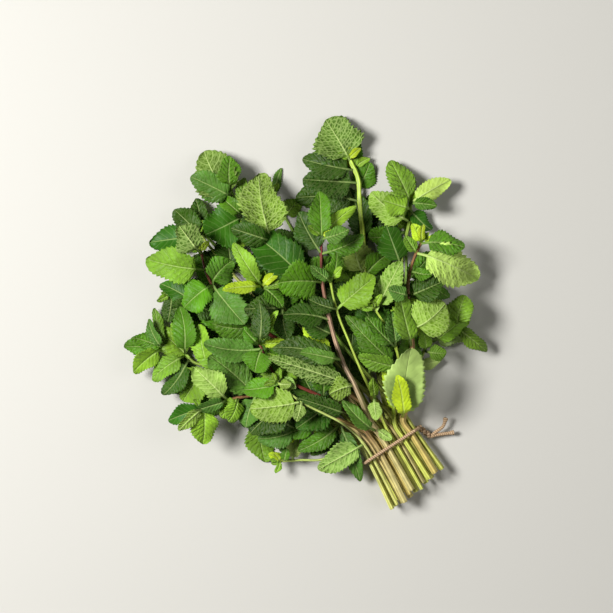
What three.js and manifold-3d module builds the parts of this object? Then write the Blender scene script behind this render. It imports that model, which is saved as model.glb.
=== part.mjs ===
// A tied bunch of fresh mint, lying on its side as it is put down on a table.
// Millimetres, +Z up, +Y from the cut ends towards the leaf tips, resting on z = 0.
//
// Each sprig is one node: a square stem with its leaves in opposite pairs, fused to it. The sprigs are
// laid on the pile one after another, from the bundle's bottom row to its top one. Every stem and leaf
// is draped over what already lies under it, so that no sprig passes through another.
import * as THREE from 'three';
import { mergeVertices } from 'three/addons/utils/BufferGeometryUtils.js';
import Module from 'manifold-3d';

const wasm = await Module();
wasm.setup();

// ---- Driving dimensions --------------------------------------------------------------------------

const STEM_SIDE = 3.5; // width of a square stem at the tie
const STEM_END_SIDE = 1.4; // and where it ends in its bud
const STEM_LEAST_SIDE = 1.2; // of the thinnest sprig's end
const SLIM = [0.75, 1]; // a sprig's stem is this much thinner than the thickest
const STEM_STEP = 14; // between two rings of a stem
const STEM_GAP = 0.7; // between stems that lie on each other
const STEM_STIFFNESS = 0.01; // the most a stem's height curves, per mm
const BUNDLE_X = -6; // the bundle's middle
const BUNDLE_PITCH = 5.7; // from stem to stem in a row
const BUNDLE_RISE = 3.95; // from row to row
const BUNDLE_ROWS = [6, 7, 7, 6]; // stems in each row, from the bottom
const BUNDLE_END_Y = 12; // the stems run side by side up to here
const SPREAD_LENGTH = 70; // over which the stems come free of each other
const CUT_Y = -28.5; // where the stems are cut
const CUT_SLANT = 0.1; // the cut runs up towards the right
const CUT_UNEVEN = 2.6; // one stem is cut longer than the next
const CUT_ASTRAY = 1.1; // how far to either side of its place a stem is at the cut
const CUT_SPREAD = 1.13; // how wide the bundle is at the cut, against at the tie
const CUT_SHIFT = -1.8; // the bundle leans to one side below the tie
const TIE_Y = 3;
const TIE_WIRE = 2.1; // thickness of the paper-covered wire
const TIE_GAP = 0.35; // between the wire and the stems
const BLADE = 1; // a leaf's thickness, measured upright
const PETIOLE_WIDTH = 1.9;
const PETIOLE_SHARE = 0.14; // of the way from the stem to the leaf's tip
const LEAF_STIFFNESS = 0.04; // the most a leaf's height curves, per mm
const CLEARANCE = 0.5; // left under each leaf
const LEAF_BOW = 0.07; // the most a leaf bends sideways, of its length
const LEAF_ROLL = 0.1; // slope across a leaf
const LEAN_SHARE = 0.8; // a leaf takes on this much of the pile's slope
const STEEPEST_ROLL = 0.55;
const LEAF_FOLD = [0.03, 0.15]; // slope up from the midrib to both sides
const LEAF_RISE = [0, 0.2]; // slope of a free leaf at its stem
const LEAF_DROOP = [0.006, 0.018]; // how it bends down from there, per mm
const CROWDED = 20; // leaves by the rule grow only where the pile is lower than this
const STEEPEST_RISE = 7; // and where the petiole needn't rise more
const SLIVER = 0.04; // faces left narrower than this by the fusing are closed up
const SEED = 20817;

// ---- The sprigs, in the order in which they are laid down ----------------------------------------
// way: the points that the stem runs through, each with the leaves that grow there, as [x, y, width]
// of the leaf's tip. leafy: how far along the stem the leaves that follow the rule begin.

const SPRIGS = [
  { row: 0, leafy: 80, way: [[-45, 62], [-74, 90], [-92, 104, [-86, 124, 12], [-104, 106, 10]]] },
  {
    row: 0, leafy: 104,
    way: [
      [-26, 75],
      [-52, 122],
      [-72, 158, [-60, 134, 18], [-48, 150, 16], [-82, 144, 12]],
    ],
  },
  { row: 0, leafy: 84, way: [[-12, 90], [-26, 145, [-50, 170, 15], [-22, 170, 12]], [-34, 184]] },
  {
    row: 0, leafy: 60,
    way: [
      [8, 90],
      [14, 132, [5, 155, 16], [26, 150, 16]],
      [16, 160, [30, 163, 12]],
      [16, 176, [31, 187, 6]],
    ],
  },
  {
    row: 0, leafy: 84,
    way: [
      [26, 75],
      [50, 118, [69, 142, 16], [60, 154, 16]],
      [64, 148, [80, 159, 15]],
      [71, 162, [82, 180, 11], [62, 182, 14]],
    ],
  },
  {
    row: 0, leafy: 70,
    way: [
      [30, 50],
      [58, 84, [75, 60, 12], [82, 90, 13]],
      [76, 112, [53, 120, 16], [83, 126, 11]],
    ],
  },
  {
    row: 1, leafy: 60,
    way: [
      [-34, 36],
      [-54, 50, [-66, 34, 13]],
      [-67, 62, [-79, 36, 18], [-71, 81, 13]],
      [-74, 70, [-77, 84, 9]],
    ],
  },
  {
    row: 1, leafy: 58,
    way: [
      [-28, 62],
      [-54, 108],
      [-61, 146, [-73, 167, 13], [-50, 128, 13], [-75, 149, 13]],
    ],
  },
  {
    row: 1, leafy: 62,
    way: [
      [-14, 80],
      [-30, 140],
      [-35, 180, [-65, 193, 17], [-25, 200, 13], [-40, 201, 16]],
    ],
  },
  {
    row: 1, leafy: 66,
    way: [
      [-4, 80],
      [-8, 140],
      [-6, 174, [-32, 177, 27], [8, 194, 10], [-12, 194, 10]],
      [-5, 186, [-4, 222, 28], [-20, 212, 18]],
      [-3, 194, [8, 209, 14]],
    ],
  },
  {
    row: 1, leafy: 62,
    way: [
      [28, 84],
      [38, 101, [45, 126, 20], [60, 104, 13]],
      [53, 127],
      [61, 142, [28, 166, 22]],
      [67, 152, [38, 173, 24]],
      [69, 160, [45, 184, 17]],
      [70, 168, [71, 197, 30]],
    ],
  },
  {
    row: 1, leafy: 58,
    way: [
      [34, 62],
      [60, 94, [66, 120, 18]],
      [80, 114, [70, 143, 20]],
      [85, 120, [73, 134, 15], [89, 102, 11]],
      [88, 125, [91, 153, 17], [116, 122, 13], [99, 113, 8]],
    ],
  },
  {
    row: 1, leafy: 90,
    way: [
      [18, 22, [29, 57, 14]],
      [34, 34, [49, 30, 8], [42, 60, 15]],
      [44, 40, [49, 53, 9], [54, 33, 10]],
      [51, 44, [74, 35, 14], [64, 60, 14], [78, 44, 13]],
      [70, 43, [76, 19, 10], [83, 57, 17]],
    ],
  },
  {
    row: 2, leafy: 90, slim: 0.7,
    way: [
      [-28, 16],
      [-42, 17],
      [-54, 22],
      [-63, 29, [-54, 40, 9]],
      [-70, 32, [-74, 40, 6], [-62, 37, 6]],
    ],
  },
  {
    row: 2, leafy: 90,
    way: [
      [-18, 18],
      [-25, 32, [-52, 25, 11], [-35, -6, 11], [-44, 52, 18], [-57, 32, 12]],
      [-38, 39, [-64, 46, 12], [-46, 60, 8]],
      [-52, 44, [-74, 52, 15], [-58, 66, 14]],
    ],
  },
  {
    row: 2, place: 3, leafy: 46,
    way: [
      [-30, 66],
      [-60, 98],
      [-76, 107, [-66, 132, 14], [-101, 97, 20]],
      [-84, 117, [-90, 143, 17], [-109, 107, 13]],
      [-83, 121, [-70, 148, 15], [-110, 119, 13]],
      [-93, 131, [-114, 146, 13], [-84, 156, 8], [-106, 148, 11]],
      [-95, 133, [-117, 129, 12], [-91, 152, 7]],
    ],
  },
  {
    row: 2, place: 2, leafy: 46, slim: 0.85,
    way: [
      [-36, 52],
      [-60, 76, [-70, 112, 19], [-76, 62, 15]],
      [-70, 80, [-86, 76, 12], [-83, 71, 11]],
      [-76, 83, [-82, 111, 17], [-96, 88, 8]],
      [-91, 86, [-114, 92, 12], [-104, 68, 16]],
      [-93, 87, [-111, 83, 8]],
    ],
  },
  {
    row: 2, leafy: 46, slim: 0.85,
    way: [
      [-22, 80],
      [-40, 120],
      [-46, 148, [-41, 116, 23], [-67, 145, 20], [-26, 153, 18]],
      [-44, 158, [-71, 184, 21]],
      [-40, 170, [-42, 189, 18]],
    ],
  },
  {
    row: 2, leafy: 46,
    way: [
      [-8, 70, [-12, 96, 11], [-28, 84, 14]],
      [-16, 112, [-36, 124, 15], [2, 124, 13], [-24, 94, 14]],
      [-20, 129, [-19, 162, 11], [-16, 112, 10], [-5, 124, 5]],
      [-20, 132, [-5, 133, 6], [-41, 141, 8]],
    ],
  },
  {
    row: 2, leafy: 46,
    way: [
      [2, 80, [-10, 104, 13]],
      [5, 118, [-8, 163, 25], [30, 120, 15]],
      [0, 152, [17, 191, 27], [-16, 170, 14]],
    ],
  },
  {
    row: 3, place: 1, leafy: 90, slim: 0.9,
    way: [
      [-17, 34, [-39, 61, 12]],
      [-26, 52, [-12, 76, 14]],
      [-34, 66],
      [-42, 76, [-60, 72, 12], [-36, 66, 6]],
      [-41, 98, [-69, 120, 15], [-52, 88, 18]],
      [-40, 103, [-19, 112, 6], [-22, 88, 6], [-43, 115, 7], [-26, 122, 12]],
    ],
  },
  {
    row: 3, place: 4, leafy: 90, slim: 0.8,
    way: [
      [5, 18, [17, 51, 8]],
      [11, 26],
      [24, 42, [14, 87, 13], [6, 62, 11]],
      [29, 54, [24, 80, 10], [38, 74, 10]],
      [31, 68],
      [31, 81, [61, 96, 15], [25, 96, 10]],
    ],
  },
  {
    row: 3, place: 5, leafy: 90, slim: 0.95,
    way: [
      [11, 11, [36, 36, 17], [36, 49, 25], [20, 40, 11]],
      [22, 28],
      [38, 48, [49, 81, 14]],
      [43, 58, [69, 60, 26]],
      [53, 76, [75, 72, 16], [44, 86, 10]],
      [62, 88, [72, 79, 8]],
      [72, 95, [96, 60, 24], [72, 108, 8]],
      [78, 98, [98, 82, 14], [80, 112, 8]],
      [80, 100, [85, 108, 5]],
    ],
  },
  {
    row: 3, place: 0, leafy: 90, slim: 0.5,
    way: [
      [-20, 13, [-53, 15, 16]],
      [-24, 32],
      [-38, 57, [-67, 71, 22], [-47, 49, 7]],
      [-44, 76, [-64, 83, 13], [-37, 70, 6]],
    ],
  },
  {
    row: 3, place: 2, leafy: 130, slim: 0.95,
    way: [
      [-10, 16, [-4, 6, 6], [-16, 44, 9]],
      [-8, 28],
      [-5, 48, [-40, 91, 12], [-21, 52, 14]],
      [-3, 66, [-34, 95, 15], [-22, 84, 9]],
      [4, 90, [-18, 108, 14]],
      [13, 112, [-10, 126, 23], [32, 117, 8]],
      [22, 127, [24, 156, 16], [50, 122, 14]],
      [28, 136, [56, 140, 9], [42, 160, 14], [44, 130, 10]],
    ],
  },
  {
    row: 3, place: 3, leafy: 130, slim: 0.6,
    way: [
      [1, 34, [-5, 22, 8], [7, 46, 6]],
      [3, 52],
      [7, 74],
      [11, 93, [42, 97, 19], [0, 108, 10]],
      [18, 111, [30, 122, 8], [12, 124, 7]],
    ],
  },
];

// ---- Seeded draws, curves and the plan of a leaf -------------------------------------------------

function seededDraws(seed) {
  let state = seed;
  return (low, high) => {
    state = (state * 16807) % 2147483647;
    return low + ((high - low) * state) / 2147483647;
  };
}

const draw = seededDraws(SEED);

// Half the width of a leaf of width 1, from its stem (0) to its tip (1).
function leafHalfWidth(u) {
  const q = Math.max(u - PETIOLE_SHARE, 0) / (1 - PETIOLE_SHARE);
  return 0.5 * Math.max(Math.sin(Math.PI * q ** 0.72), 0) ** 0.54;
}

// A smooth line in plan, which leaves the first point as if it came from `from`, as points that are
// evenly spaced, about step apart.
function smoothLine(from, points, step) {
  const spans = 16;
  const fine = [points[0]];
  for (let i = 0; i < points.length - 1; i += 1) {
    const [a, b] = [points[i], points[i + 1]];
    const before = points[i - 1] ?? from;
    const after = points[i + 2] ?? [2 * b[0] - a[0], 2 * b[1] - a[1]];
    for (let k = 1; k <= spans; k += 1) {
      fine.push([0, 1].map((axis) => hermite(before[axis], a[axis], b[axis], after[axis], k / spans)));
    }
  }
  const along = [0];
  for (let i = 1; i < fine.length; i += 1) {
    along.push(along[i - 1] + Math.hypot(fine[i][0] - fine[i - 1][0], fine[i][1] - fine[i - 1][1]));
  }
  const length = along.at(-1);
  const count = Math.ceil(length / step);
  const even = [];
  for (let n = 0, i = 1; n <= count; n += 1) {
    const wanted = (length * n) / count;
    while (i < fine.length - 1 && along[i] < wanted) i += 1;
    const t = (wanted - along[i - 1]) / (along[i] - along[i - 1]);
    even.push([0, 1].map((axis) => fine[i - 1][axis] + t * (fine[i][axis] - fine[i - 1][axis])));
  }
  return even;
}

function hermite(before, a, b, after, t) {
  const out = (b - before) / 2;
  const back = (after - a) / 2;
  const [t2, t3] = [t * t, t * t * t];
  return a * (2 * t3 - 3 * t2 + 1) + out * (t3 - 2 * t2 + t) + b * (3 * t2 - 2 * t3) + back * (t3 - t2);
}

// ---- The pile: how high everything laid down so far reaches, on a grid of 1 mm -------------------

const FIELD_X = -135;
const FIELD_Y = -45;
const FIELD_COLUMNS = 270;
const FIELD_ROWS = 290;
const pile = new Float64Array(FIELD_COLUMNS * FIELD_ROWS);

function cellAt(x, y) {
  return Math.round(y - FIELD_Y) * FIELD_COLUMNS + Math.round(x - FIELD_X);
}

function raisePile(x, y, z) {
  const cell = cellAt(x, y);
  pile[cell] = Math.max(pile[cell], z);
}

// A line's heights, raised until it clears every touch.
// A touch is the line's span, how far along that span, and the least height there.
function clearHeights(heights, touches) {
  const raised = [...heights];
  const most = [...heights];
  for (const [i, , least] of touches) {
    most[i] = Math.max(most[i], least);
    most[i + 1] = Math.max(most[i + 1], least);
  }
  touches.sort((a, b) => b[2] - a[2]);
  for (const [i, t, least] of touches) {
    const short = least - (raised[i] * (1 - t) + raised[i + 1] * t);
    if (short <= 0) continue;
    const share = short / ((1 - t) ** 2 + t ** 2);
    const next = Math.min(raised[i + 1] + share * t, most[i + 1]);
    raised[i] = t < 1 ? Math.min((least - next * t) / (1 - t), most[i]) : raised[i];
    raised[i + 1] = t > 0 ? Math.max((least - raised[i] * (1 - t)) / t, raised[i + 1]) : raised[i + 1];
  }
  return raised;
}

// The lowest heights over `heights` that bend down no more sharply than `stiffness` allows.
function stiffen(heights, along, stiffness) {
  return along.map((s) => Math.max(...heights.map((z, i) => z - stiffness * (s - along[i]) ** 2)));
}

// ---- Stems ---------------------------------------------------------------------------------------

function stemSide(share, slim) {
  return Math.max(slim * (STEM_SIDE + (STEM_END_SIDE - STEM_SIDE) * share), STEM_LEAST_SIDE);
}

// The height of a stem's middle at each of its rings, given its line in plan and its height in the bundle.
function stemHeights(line, along, slim, bundleZ) {
  const length = along.at(-1);
  const half = (i) => stemSide(along[i] / length, slim) / 2;
  const lowest = line.map(([, y], i) => (y > BUNDLE_END_Y ? half(i) : bundleZ));
  const touches = [];
  for (let i = 0; i < line.length - 1; i += 1) {
    const [a, b] = [line[i], line[i + 1]];
    if (a[1] < BUNDLE_END_Y) continue;
    const wide = half(i) + STEM_GAP;
    const span = along[i + 1] - along[i];
    const side = [-(b[1] - a[1]) / span, (b[0] - a[0]) / span];
    for (let s = 0; s <= span; s += 1) {
      for (let v = -wide; v <= wide; v += wide / 3) {
        const x = a[0] + ((b[0] - a[0]) * s) / span + side[0] * v;
        const y = a[1] + ((b[1] - a[1]) * s) / span + side[1] * v;
        const z = pile[cellAt(x, y)];
        if (z > 0) touches.push([i, s / span, z + wide]);
      }
    }
  }
  const clear = clearHeights(lowest, touches);
  const stiff = stiffen(clear, along, STEM_STIFFNESS);
  return line.map(([, y], i) => {
    const free = Math.min(Math.max((y - BUNDLE_END_Y) / SPREAD_LENGTH, 0), 1);
    const eased = free * free * (3 - 2 * free);
    return y > BUNDLE_END_Y ? Math.max(clear[i], bundleZ + (stiff[i] - bundleZ) * eased) : bundleZ;
  });
}

// A square tube with closed ends along points in space, its sides kept upright.
function squareTube(points, sides) {
  const rings = points.map((p, i) => {
    const ahead = points[Math.min(i + 1, points.length - 1)].clone().sub(points[Math.max(i - 1, 0)]);
    const across = new THREE.Vector3(-ahead.y, ahead.x, 0).normalize();
    const up = new THREE.Vector3().crossVectors(ahead, across).normalize();
    const corners = [[1, 1], [-1, 1], [-1, -1], [1, -1]];
    return corners.map(([a, b]) => p.clone()
      .addScaledVector(across, (a * sides[i]) / 2)
      .addScaledVector(up, (b * sides[i]) / 2));
  });
  return tubeThrough(rings);
}

// A closed solid through rings of points, all of the same number.
function tubeThrough(rings) {
  const sides = rings[0].length;
  const faces = [];
  for (let i = 0; i < rings.length - 1; i += 1) {
    for (let k = 0; k < sides; k += 1) {
      const [a, b] = [i * sides + k, i * sides + ((k + 1) % sides)];
      faces.push([a, b, b + sides], [a, b + sides, a + sides]);
    }
  }
  const last = (rings.length - 1) * sides;
  for (let k = 1; k < sides - 1; k += 1) {
    faces.push([0, k + 1, k], [last, last + k, last + k + 1]);
  }
  return solidFrom(rings.flat(), faces);
}

function solidFrom(points, faces) {
  const vertProperties = new Float32Array(points.flatMap((p) => [p.x, p.y, p.z]));
  const solid = new wasm.Manifold(new wasm.Mesh({ numProp: 3, vertProperties, triVerts: faces.flat() }));
  return solid.volume() > 0 ? solid : turnedOut(points, faces);
}

function turnedOut(points, faces) {
  return solidFrom(points, faces.map(([a, b, c]) => [a, c, b]));
}

// ---- Leaves --------------------------------------------------------------------------------------

const LEAF_STATIONS = [0, PETIOLE_SHARE, 0.42, 0.7, 1]; // along a leaf, where its height is set
// A placed leaf's edge, as places along it and shares of its full width there, notched on each side.
const TOOTHED_EDGE = [[0.3, 1], [0.46, 0.85], [0.66, 1.1]];
const PLAIN_EDGE = [[0.36, 1], [0.66, 1]];
const ROOT_DEPTH = 0.6; // how far a petiole is sunk into its stem's side
const BLADE_GRID = 0.7; // between the points where a leaf feels the pile
const BLADE_MARGIN = 0.3; // how far beyond its edge it does
const SMALL_LEAF = 24; // shorter leaves have the plain edge, as those by the rule have

// A leaf's plan: where a place along it (u) and across it (v, in mm) is.
function leafPlan(leaf) {
  const dx = leaf.tip[0] - leaf.root[0];
  const dy = leaf.tip[1] - leaf.root[1];
  const length = Math.hypot(dx, dy);
  const at = (u, v) => {
    const aside = leaf.bow * length * 4 * u * (1 - u) + v;
    return [leaf.root[0] + dx * u - (dy / length) * aside, leaf.root[1] + dy * u + (dx / length) * aside];
  };
  return { length, at };
}

// Calls visit(x, y, u, v, station) for a grid of points over the blade.
function overBlade(leaf, plan, visit) {
  const steps = Math.ceil(plan.length / BLADE_GRID);
  for (let n = 1; n <= steps; n += 1) {
    const u = n / steps;
    if (u < PETIOLE_SHARE) continue;
    const half = leaf.width * leafHalfWidth(u) + BLADE_MARGIN;
    const station = Math.max(LEAF_STATIONS.findIndex((s) => s >= u - 1e-9), 2);
    const across = Math.ceil(half / BLADE_GRID);
    for (let k = -across; k <= across; k += 1) {
      const v = (half * k) / across;
      const [x, y] = plan.at(u, v);
      visit(x, y, u, v, station);
    }
  }
}

// Lays a leaf over the pile: sets its tilt across and its height at each station, and raises the pile.
function layLeaf(leaf) {
  const plan = leafPlan(leaf);
  const along = LEAF_STATIONS.map((u) => u * plan.length);
  const sums = [[0, 0], [0, 0]];
  let bare = true;
  overBlade(leaf, plan, (x, y, u, v) => {
    const z = pile[cellAt(x, y)];
    if (z > 0) bare = false;
    if (v === 0) return;
    const bin = sums[v > 0 ? 1 : 0];
    bin[0] += z;
    bin[1] += 1;
  });
  const under = (sums[0][0] + sums[1][0]) / (sums[0][1] + sums[1][1]);
  if (leaf.byRule && under > CROWDED) return false;
  const lean = (sums[1][0] / sums[1][1] - sums[0][0] / sums[0][1]) / (leaf.width * 0.5);
  const roll = lean * LEAN_SHARE + leaf.roll;
  leaf.roll = bare ? 0 : Math.min(Math.max(roll, -STEEPEST_ROLL), STEEPEST_ROLL);
  leaf.fold = bare ? 0 : leaf.fold;
  const lowest = along.map((s) => Math.max(leaf.z + leaf.rise * s - leaf.droop * s * s, BLADE / 2));
  const touches = [];
  overBlade(leaf, plan, (x, y, u, v, station) => {
    const z = pile[cellAt(x, y)];
    const t = (u - LEAF_STATIONS[station - 1]) / (LEAF_STATIONS[station] - LEAF_STATIONS[station - 1]);
    const least = z + (z > 0 ? CLEARANCE : 0) + BLADE / 2 - leaf.roll * v - leaf.fold * Math.abs(v);
    touches.push([station - 1, t, least]);
  });
  const heights = stiffen(clearHeights(lowest, touches), along, LEAF_STIFFNESS);
  leaf.heights = heights.map((z, i) => (i === 0 ? leaf.z : z));
  if (leaf.byRule && leaf.heights[1] - leaf.z > STEEPEST_RISE) return false;
  overBlade(leaf, plan, (x, y, u, v) => {
    raisePile(x, y, leafHeight(leaf, u, v) + BLADE / 2);
  });
  return true;
}

function leafHeight(leaf, u, v) {
  const next = Math.max(LEAF_STATIONS.findIndex((s) => s >= u - 1e-9), 1);
  const [from, to] = [LEAF_STATIONS[next - 1], LEAF_STATIONS[next]];
  const t = (u - from) / (to - from);
  const middle = leaf.heights[next - 1] + t * (leaf.heights[next] - leaf.heights[next - 1]);
  return middle + leaf.roll * v + leaf.fold * Math.abs(v);
}

// The leaf as a solid: the same triangles above and below, and a wall round the edge.
function leafSolid(leaf) {
  const plan = leafPlan(leaf);
  const plain = leaf.byRule || plan.length < SMALL_LEAF;
  const outline = plain ? PLAIN_EDGE : TOOTHED_EDGE;
  const edge = outline.map(([u, share]) => [u, share * leaf.width * leafHalfWidth(u)]);
  const stalk = PETIOLE_WIDTH / 2;
  const side = [[0, stalk], [PETIOLE_SHARE, stalk], ...edge, [1, 0]];
  const midrib = (plain ? [0.5, 1] : LEAF_STATIONS.slice(2)).map((u) => [u, 0]);
  const places = [];
  const place = ([u, v], sign) => {
    const isTip = u === 1;
    const key = places.findIndex(([pu, pv]) => pu === u && pv === (isTip ? 0 : v * sign));
    if (key >= 0) return key;
    places.push([u, isTip ? 0 : v * sign]);
    return places.length - 1;
  };
  const right = side.map((p) => place(p, -1));
  const left = side.map((p) => place(p, 1));
  const middle = midrib.map((p) => place(p, 1));
  const faces = [
    [right[0], right[1], left[1]],
    [right[0], left[1], left[0]],
    [right[1], middle[0], left[1]],
  ];
  faces.push(...zip(right.slice(1), middle, places));
  faces.push(...zip(left.slice(1), middle, places).map(([a, b, c]) => [a, c, b]));
  const rim = [...right, ...left.slice(0, -1).reverse()];
  const count = places.length;
  const points = [BLADE / 2, -BLADE / 2].flatMap((half) => places.map(([u, v]) => {
    const [x, y] = plan.at(u, v);
    return new THREE.Vector3(x, y, Math.max(leafHeight(leaf, u, v) + half, half > 0 ? BLADE : 0));
  }));
  const under = faces.map(([a, b, c]) => [a + count, c + count, b + count]);
  const walls = rim.flatMap((a, i) => {
    const b = rim[(i + 1) % rim.length];
    return [[a, a + count, b + count], [a, b + count, b]];
  });
  return solidFrom(points, [...faces, ...under, ...walls]);
}

// Triangles between a leaf's edge and its midrib, both listed from the stem to the tip.
function zip(edge, middle, places) {
  const faces = [];
  let [e, m] = [0, 0];
  while (e < edge.length - 1 || m < middle.length - 1) {
    const edgeNext = e < edge.length - 1 ? places[edge[e + 1]][0] : Infinity;
    const middleNext = m < middle.length - 1 ? places[middle[m + 1]][0] : Infinity;
    const alongEdge = edgeNext <= middleNext;
    const third = alongEdge ? edge[e + 1] : middle[m + 1];
    if (third !== edge[e] && third !== middle[m]) faces.push([edge[e], third, middle[m]]);
    if (alongEdge) e += 1;
    else m += 1;
  }
  return faces;
}

// ---- A sprig -------------------------------------------------------------------------------------

const INTERNODE = 25; // between two pairs of leaves low on the stem
const INTERNODE_NEAR_TIP = 16;
const RULE_LENGTH = [36, 18]; // of the leaves that follow the rule, low on the stem and near its tip
const RULE_WIDTH = 0.68; // of the length
const LENGTH_VARIES = [0.85, 1.1];
const WIDTH_VARIES = [0.92, 1.1];
const OPEN_TURN = [52, 80]; // degrees from the stem: a pair that lies across it,
const FORWARD_TURN = [24, 42]; // and the pair after it, which points along it

function layLeafAt(root, tip, width, byRule) {
  const leaf = {
    root: root.slice(0, 2),
    z: root[2],
    tip,
    width,
    byRule,
    bow: draw(-LEAF_BOW, LEAF_BOW),
    roll: draw(-LEAF_ROLL, LEAF_ROLL),
    fold: draw(...LEAF_FOLD),
    rise: draw(...LEAF_RISE),
    droop: draw(...LEAF_DROOP),
  };
  return layLeaf(leaf) ? leaf : null;
}

// A tip in plan: so far from root, turned from the stem's heading.
function tipFrom(root, heading, turn, length) {
  const angle = heading + THREE.MathUtils.degToRad(turn);
  return [root[0] + length * Math.cos(angle), root[1] + length * Math.sin(angle)];
}

function makeSprig(sprig, place) {
  const count = BUNDLE_ROWS[sprig.row];
  const slotX = BUNDLE_X + (place - (count - 1) / 2) * BUNDLE_PITCH;
  const bundleZ = TIE_WIRE + TIE_GAP + STEM_SIDE / 2 + sprig.row * BUNDLE_RISE;
  const astray = draw(-CUT_ASTRAY, CUT_ASTRAY);
  const cutX = BUNDLE_X + (slotX - BUNDLE_X) * CUT_SPREAD + CUT_SHIFT + astray;
  const cut = [cutX, CUT_Y + CUT_SLANT * (cutX - BUNDLE_X) + draw(-CUT_UNEVEN, CUT_UNEVEN)];
  const slim = sprig.slim ?? draw(...SLIM);
  const held = [cut, [slotX, TIE_Y]];
  const end = [slotX, BUNDLE_END_Y];
  const line = [...held, ...smoothLine(held[1], [end, ...sprig.way], STEM_STEP)];
  const along = [0];
  for (let i = 1; i < line.length; i += 1) {
    along.push(along[i - 1] + Math.hypot(line[i][0] - line[i - 1][0], line[i][1] - line[i - 1][1]));
  }
  const length = along.at(-1);
  const heights = stemHeights(line, along, slim, bundleZ);
  const sides = along.map((s) => stemSide(s / length, slim));
  const points = line.map(([x, y], i) => new THREE.Vector3(x, y, heights[i]));
  const onStem = (s) => {
    const i = Math.max(along.findIndex((a) => a >= s - 1e-9), 1);
    const t = (s - along[i - 1]) / (along[i] - along[i - 1]);
    return points[i - 1].clone().lerp(points[i], t);
  };
  const layStem = () => {
    for (let s = 0; s <= length; s += 0.8) {
      const p = onStem(s);
      const half = stemSide(s / length, slim) / 2;
      for (let v = -half; v <= half; v += half / 2) {
        raisePile(p.x + v, p.y, p.z + half);
        raisePile(p.x, p.y + v, p.z + half);
      }
    }
  };
  // A lowest sprig's leaves lie flat on the surface beside its stem, and the others' go over theirs.
  if (sprig.row > 0) layStem();

  const leaves = [];
  const grow = (s, tip, width, byRule) => {
    const [here, ahead] = [onStem(Math.min(s, length - 2)), onStem(Math.min(s + 2, length))];
    const [dx, dy] = [ahead.x - here.x, ahead.y - here.y];
    const hand = Math.sign(dx * (tip[1] - here.y) - dy * (tip[0] - here.x));
    const half = stemSide(s / length, slim) / 2;
    const out = (hand * (half - Math.min(ROOT_DEPTH, half))) / Math.hypot(dx, dy);
    const leaf = layLeafAt([here.x - dy * out, here.y + dx * out, here.z], tip, width, byRule);
    if (leaf) leaves.push(leaf);
  };
  const nearest = ([x, y]) => {
    const far = line.map((p) => Math.hypot(p[0] - x, p[1] - y));
    const i = far.indexOf(Math.min(...far));
    const [low, high] = [along[Math.max(i - 1, 0)], along[Math.min(i + 1, line.length - 1)]];
    let best = low;
    for (let s = low; s <= high; s += 0.5) {
      const [p, q] = [onStem(s), onStem(best)];
      if (Math.hypot(p.x - x, p.y - y) < Math.hypot(q.x - x, q.y - y)) best = s;
    }
    return best;
  };
  const placed = sprig.way.filter((point) => point.length > 2);
  const ruleEnd = placed.length ? nearest(placed[0]) - INTERNODE_NEAR_TIP : length - 4;
  let across = draw(0, 1) > 0.5;
  for (let s = along[1] + sprig.leafy; s < ruleEnd;) {
    const share = s / length;
    const [here, ahead] = [onStem(s), onStem(Math.min(s + 4, length))];
    const heading = Math.atan2(ahead.y - here.y, ahead.x - here.x);
    for (const hand of [1, -1]) {
      const turn = hand * (across ? draw(...OPEN_TURN) : draw(...FORWARD_TURN));
      const usual = RULE_LENGTH[0] + (RULE_LENGTH[1] - RULE_LENGTH[0]) * share ** 3;
      const leafLength = usual * draw(...LENGTH_VARIES);
      const tip = tipFrom(here.toArray(), heading, turn, leafLength);
      grow(s, tip, leafLength * RULE_WIDTH * draw(...WIDTH_VARIES), true);
    }
    s += INTERNODE + (INTERNODE_NEAR_TIP - INTERNODE) * share ** 2;
    across = !across;
  }
  for (const point of placed) {
    const s = nearest(point);
    for (const [x, y, width] of point.slice(2)) grow(s, [x, y], width, false);
  }
  if (sprig.row === 0) layStem();
  const fused = leaves.reduce((solid, leaf) => solid.add(leafSolid(leaf)), squareTube(points, sides));
  return outerShell(fused).asOriginal().simplify(SLIVER);
}

// The outside of a solid alone, with any hollow that fusing sealed filled.
function outerShell(solid) {
  return solid.decompose().reduce((best, shell) => (shell.volume() > best.volume() ? shell : best));
}

// ---- The tie: a paper-covered wire round the bundle, its two ends twisted together at the right ----

const TIE_SIDES = 6;
const TIE_TURNS = 24; // places round the loop
const TIE_RISE = 1; // the loop's middle lies this far up the bundle from its place
const TIE_SAG = 1.6; // and its ends this far back from there
const TIE_HALF = 20.3; // half its width
const TWIST_LENGTH = 9;
const TWIST_WIDTH = 4;
const FREE_ENDS = [ // ways of the two free ends, from the end of the twisted stretch
  [[4, 0.4, 0.6], [10, 1, 1.4], [14.5, 4.6, 2.4]],
  [[4, -1.6, -0.4], [9, -4, -0.8], [14, -6.2, -0.6]],
];
const TWIST_LEAN = [3, -1]; // how far right and down the twisted stretch ends
const KNOT_GAP = 0.3; // from the loop's end to where it begins

function roundTube(path, radii, closed) {
  const rings = path.map((p, i) => {
    const before = path[closed ? (i + path.length - 1) % path.length : Math.max(i - 1, 0)];
    const after = path[closed ? (i + 1) % path.length : Math.min(i + 1, path.length - 1)];
    const ahead = after.clone().sub(before).normalize();
    const rest = Math.abs(ahead.y) < 0.8 ? new THREE.Vector3(0, 1, 0) : new THREE.Vector3(0, 0, 1);
    const across = new THREE.Vector3().crossVectors(rest, ahead).normalize();
    const up = new THREE.Vector3().crossVectors(ahead, across);
    return Array.from({ length: TIE_SIDES }, (_, k) => {
      const angle = (2 * Math.PI * k) / TIE_SIDES;
      return p.clone()
        .addScaledVector(across, radii[i] * Math.cos(angle))
        .addScaledVector(up, radii[i] * Math.sin(angle));
    });
  });
  return closed ? ringThrough(rings) : tubeThrough(rings);
}

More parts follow.
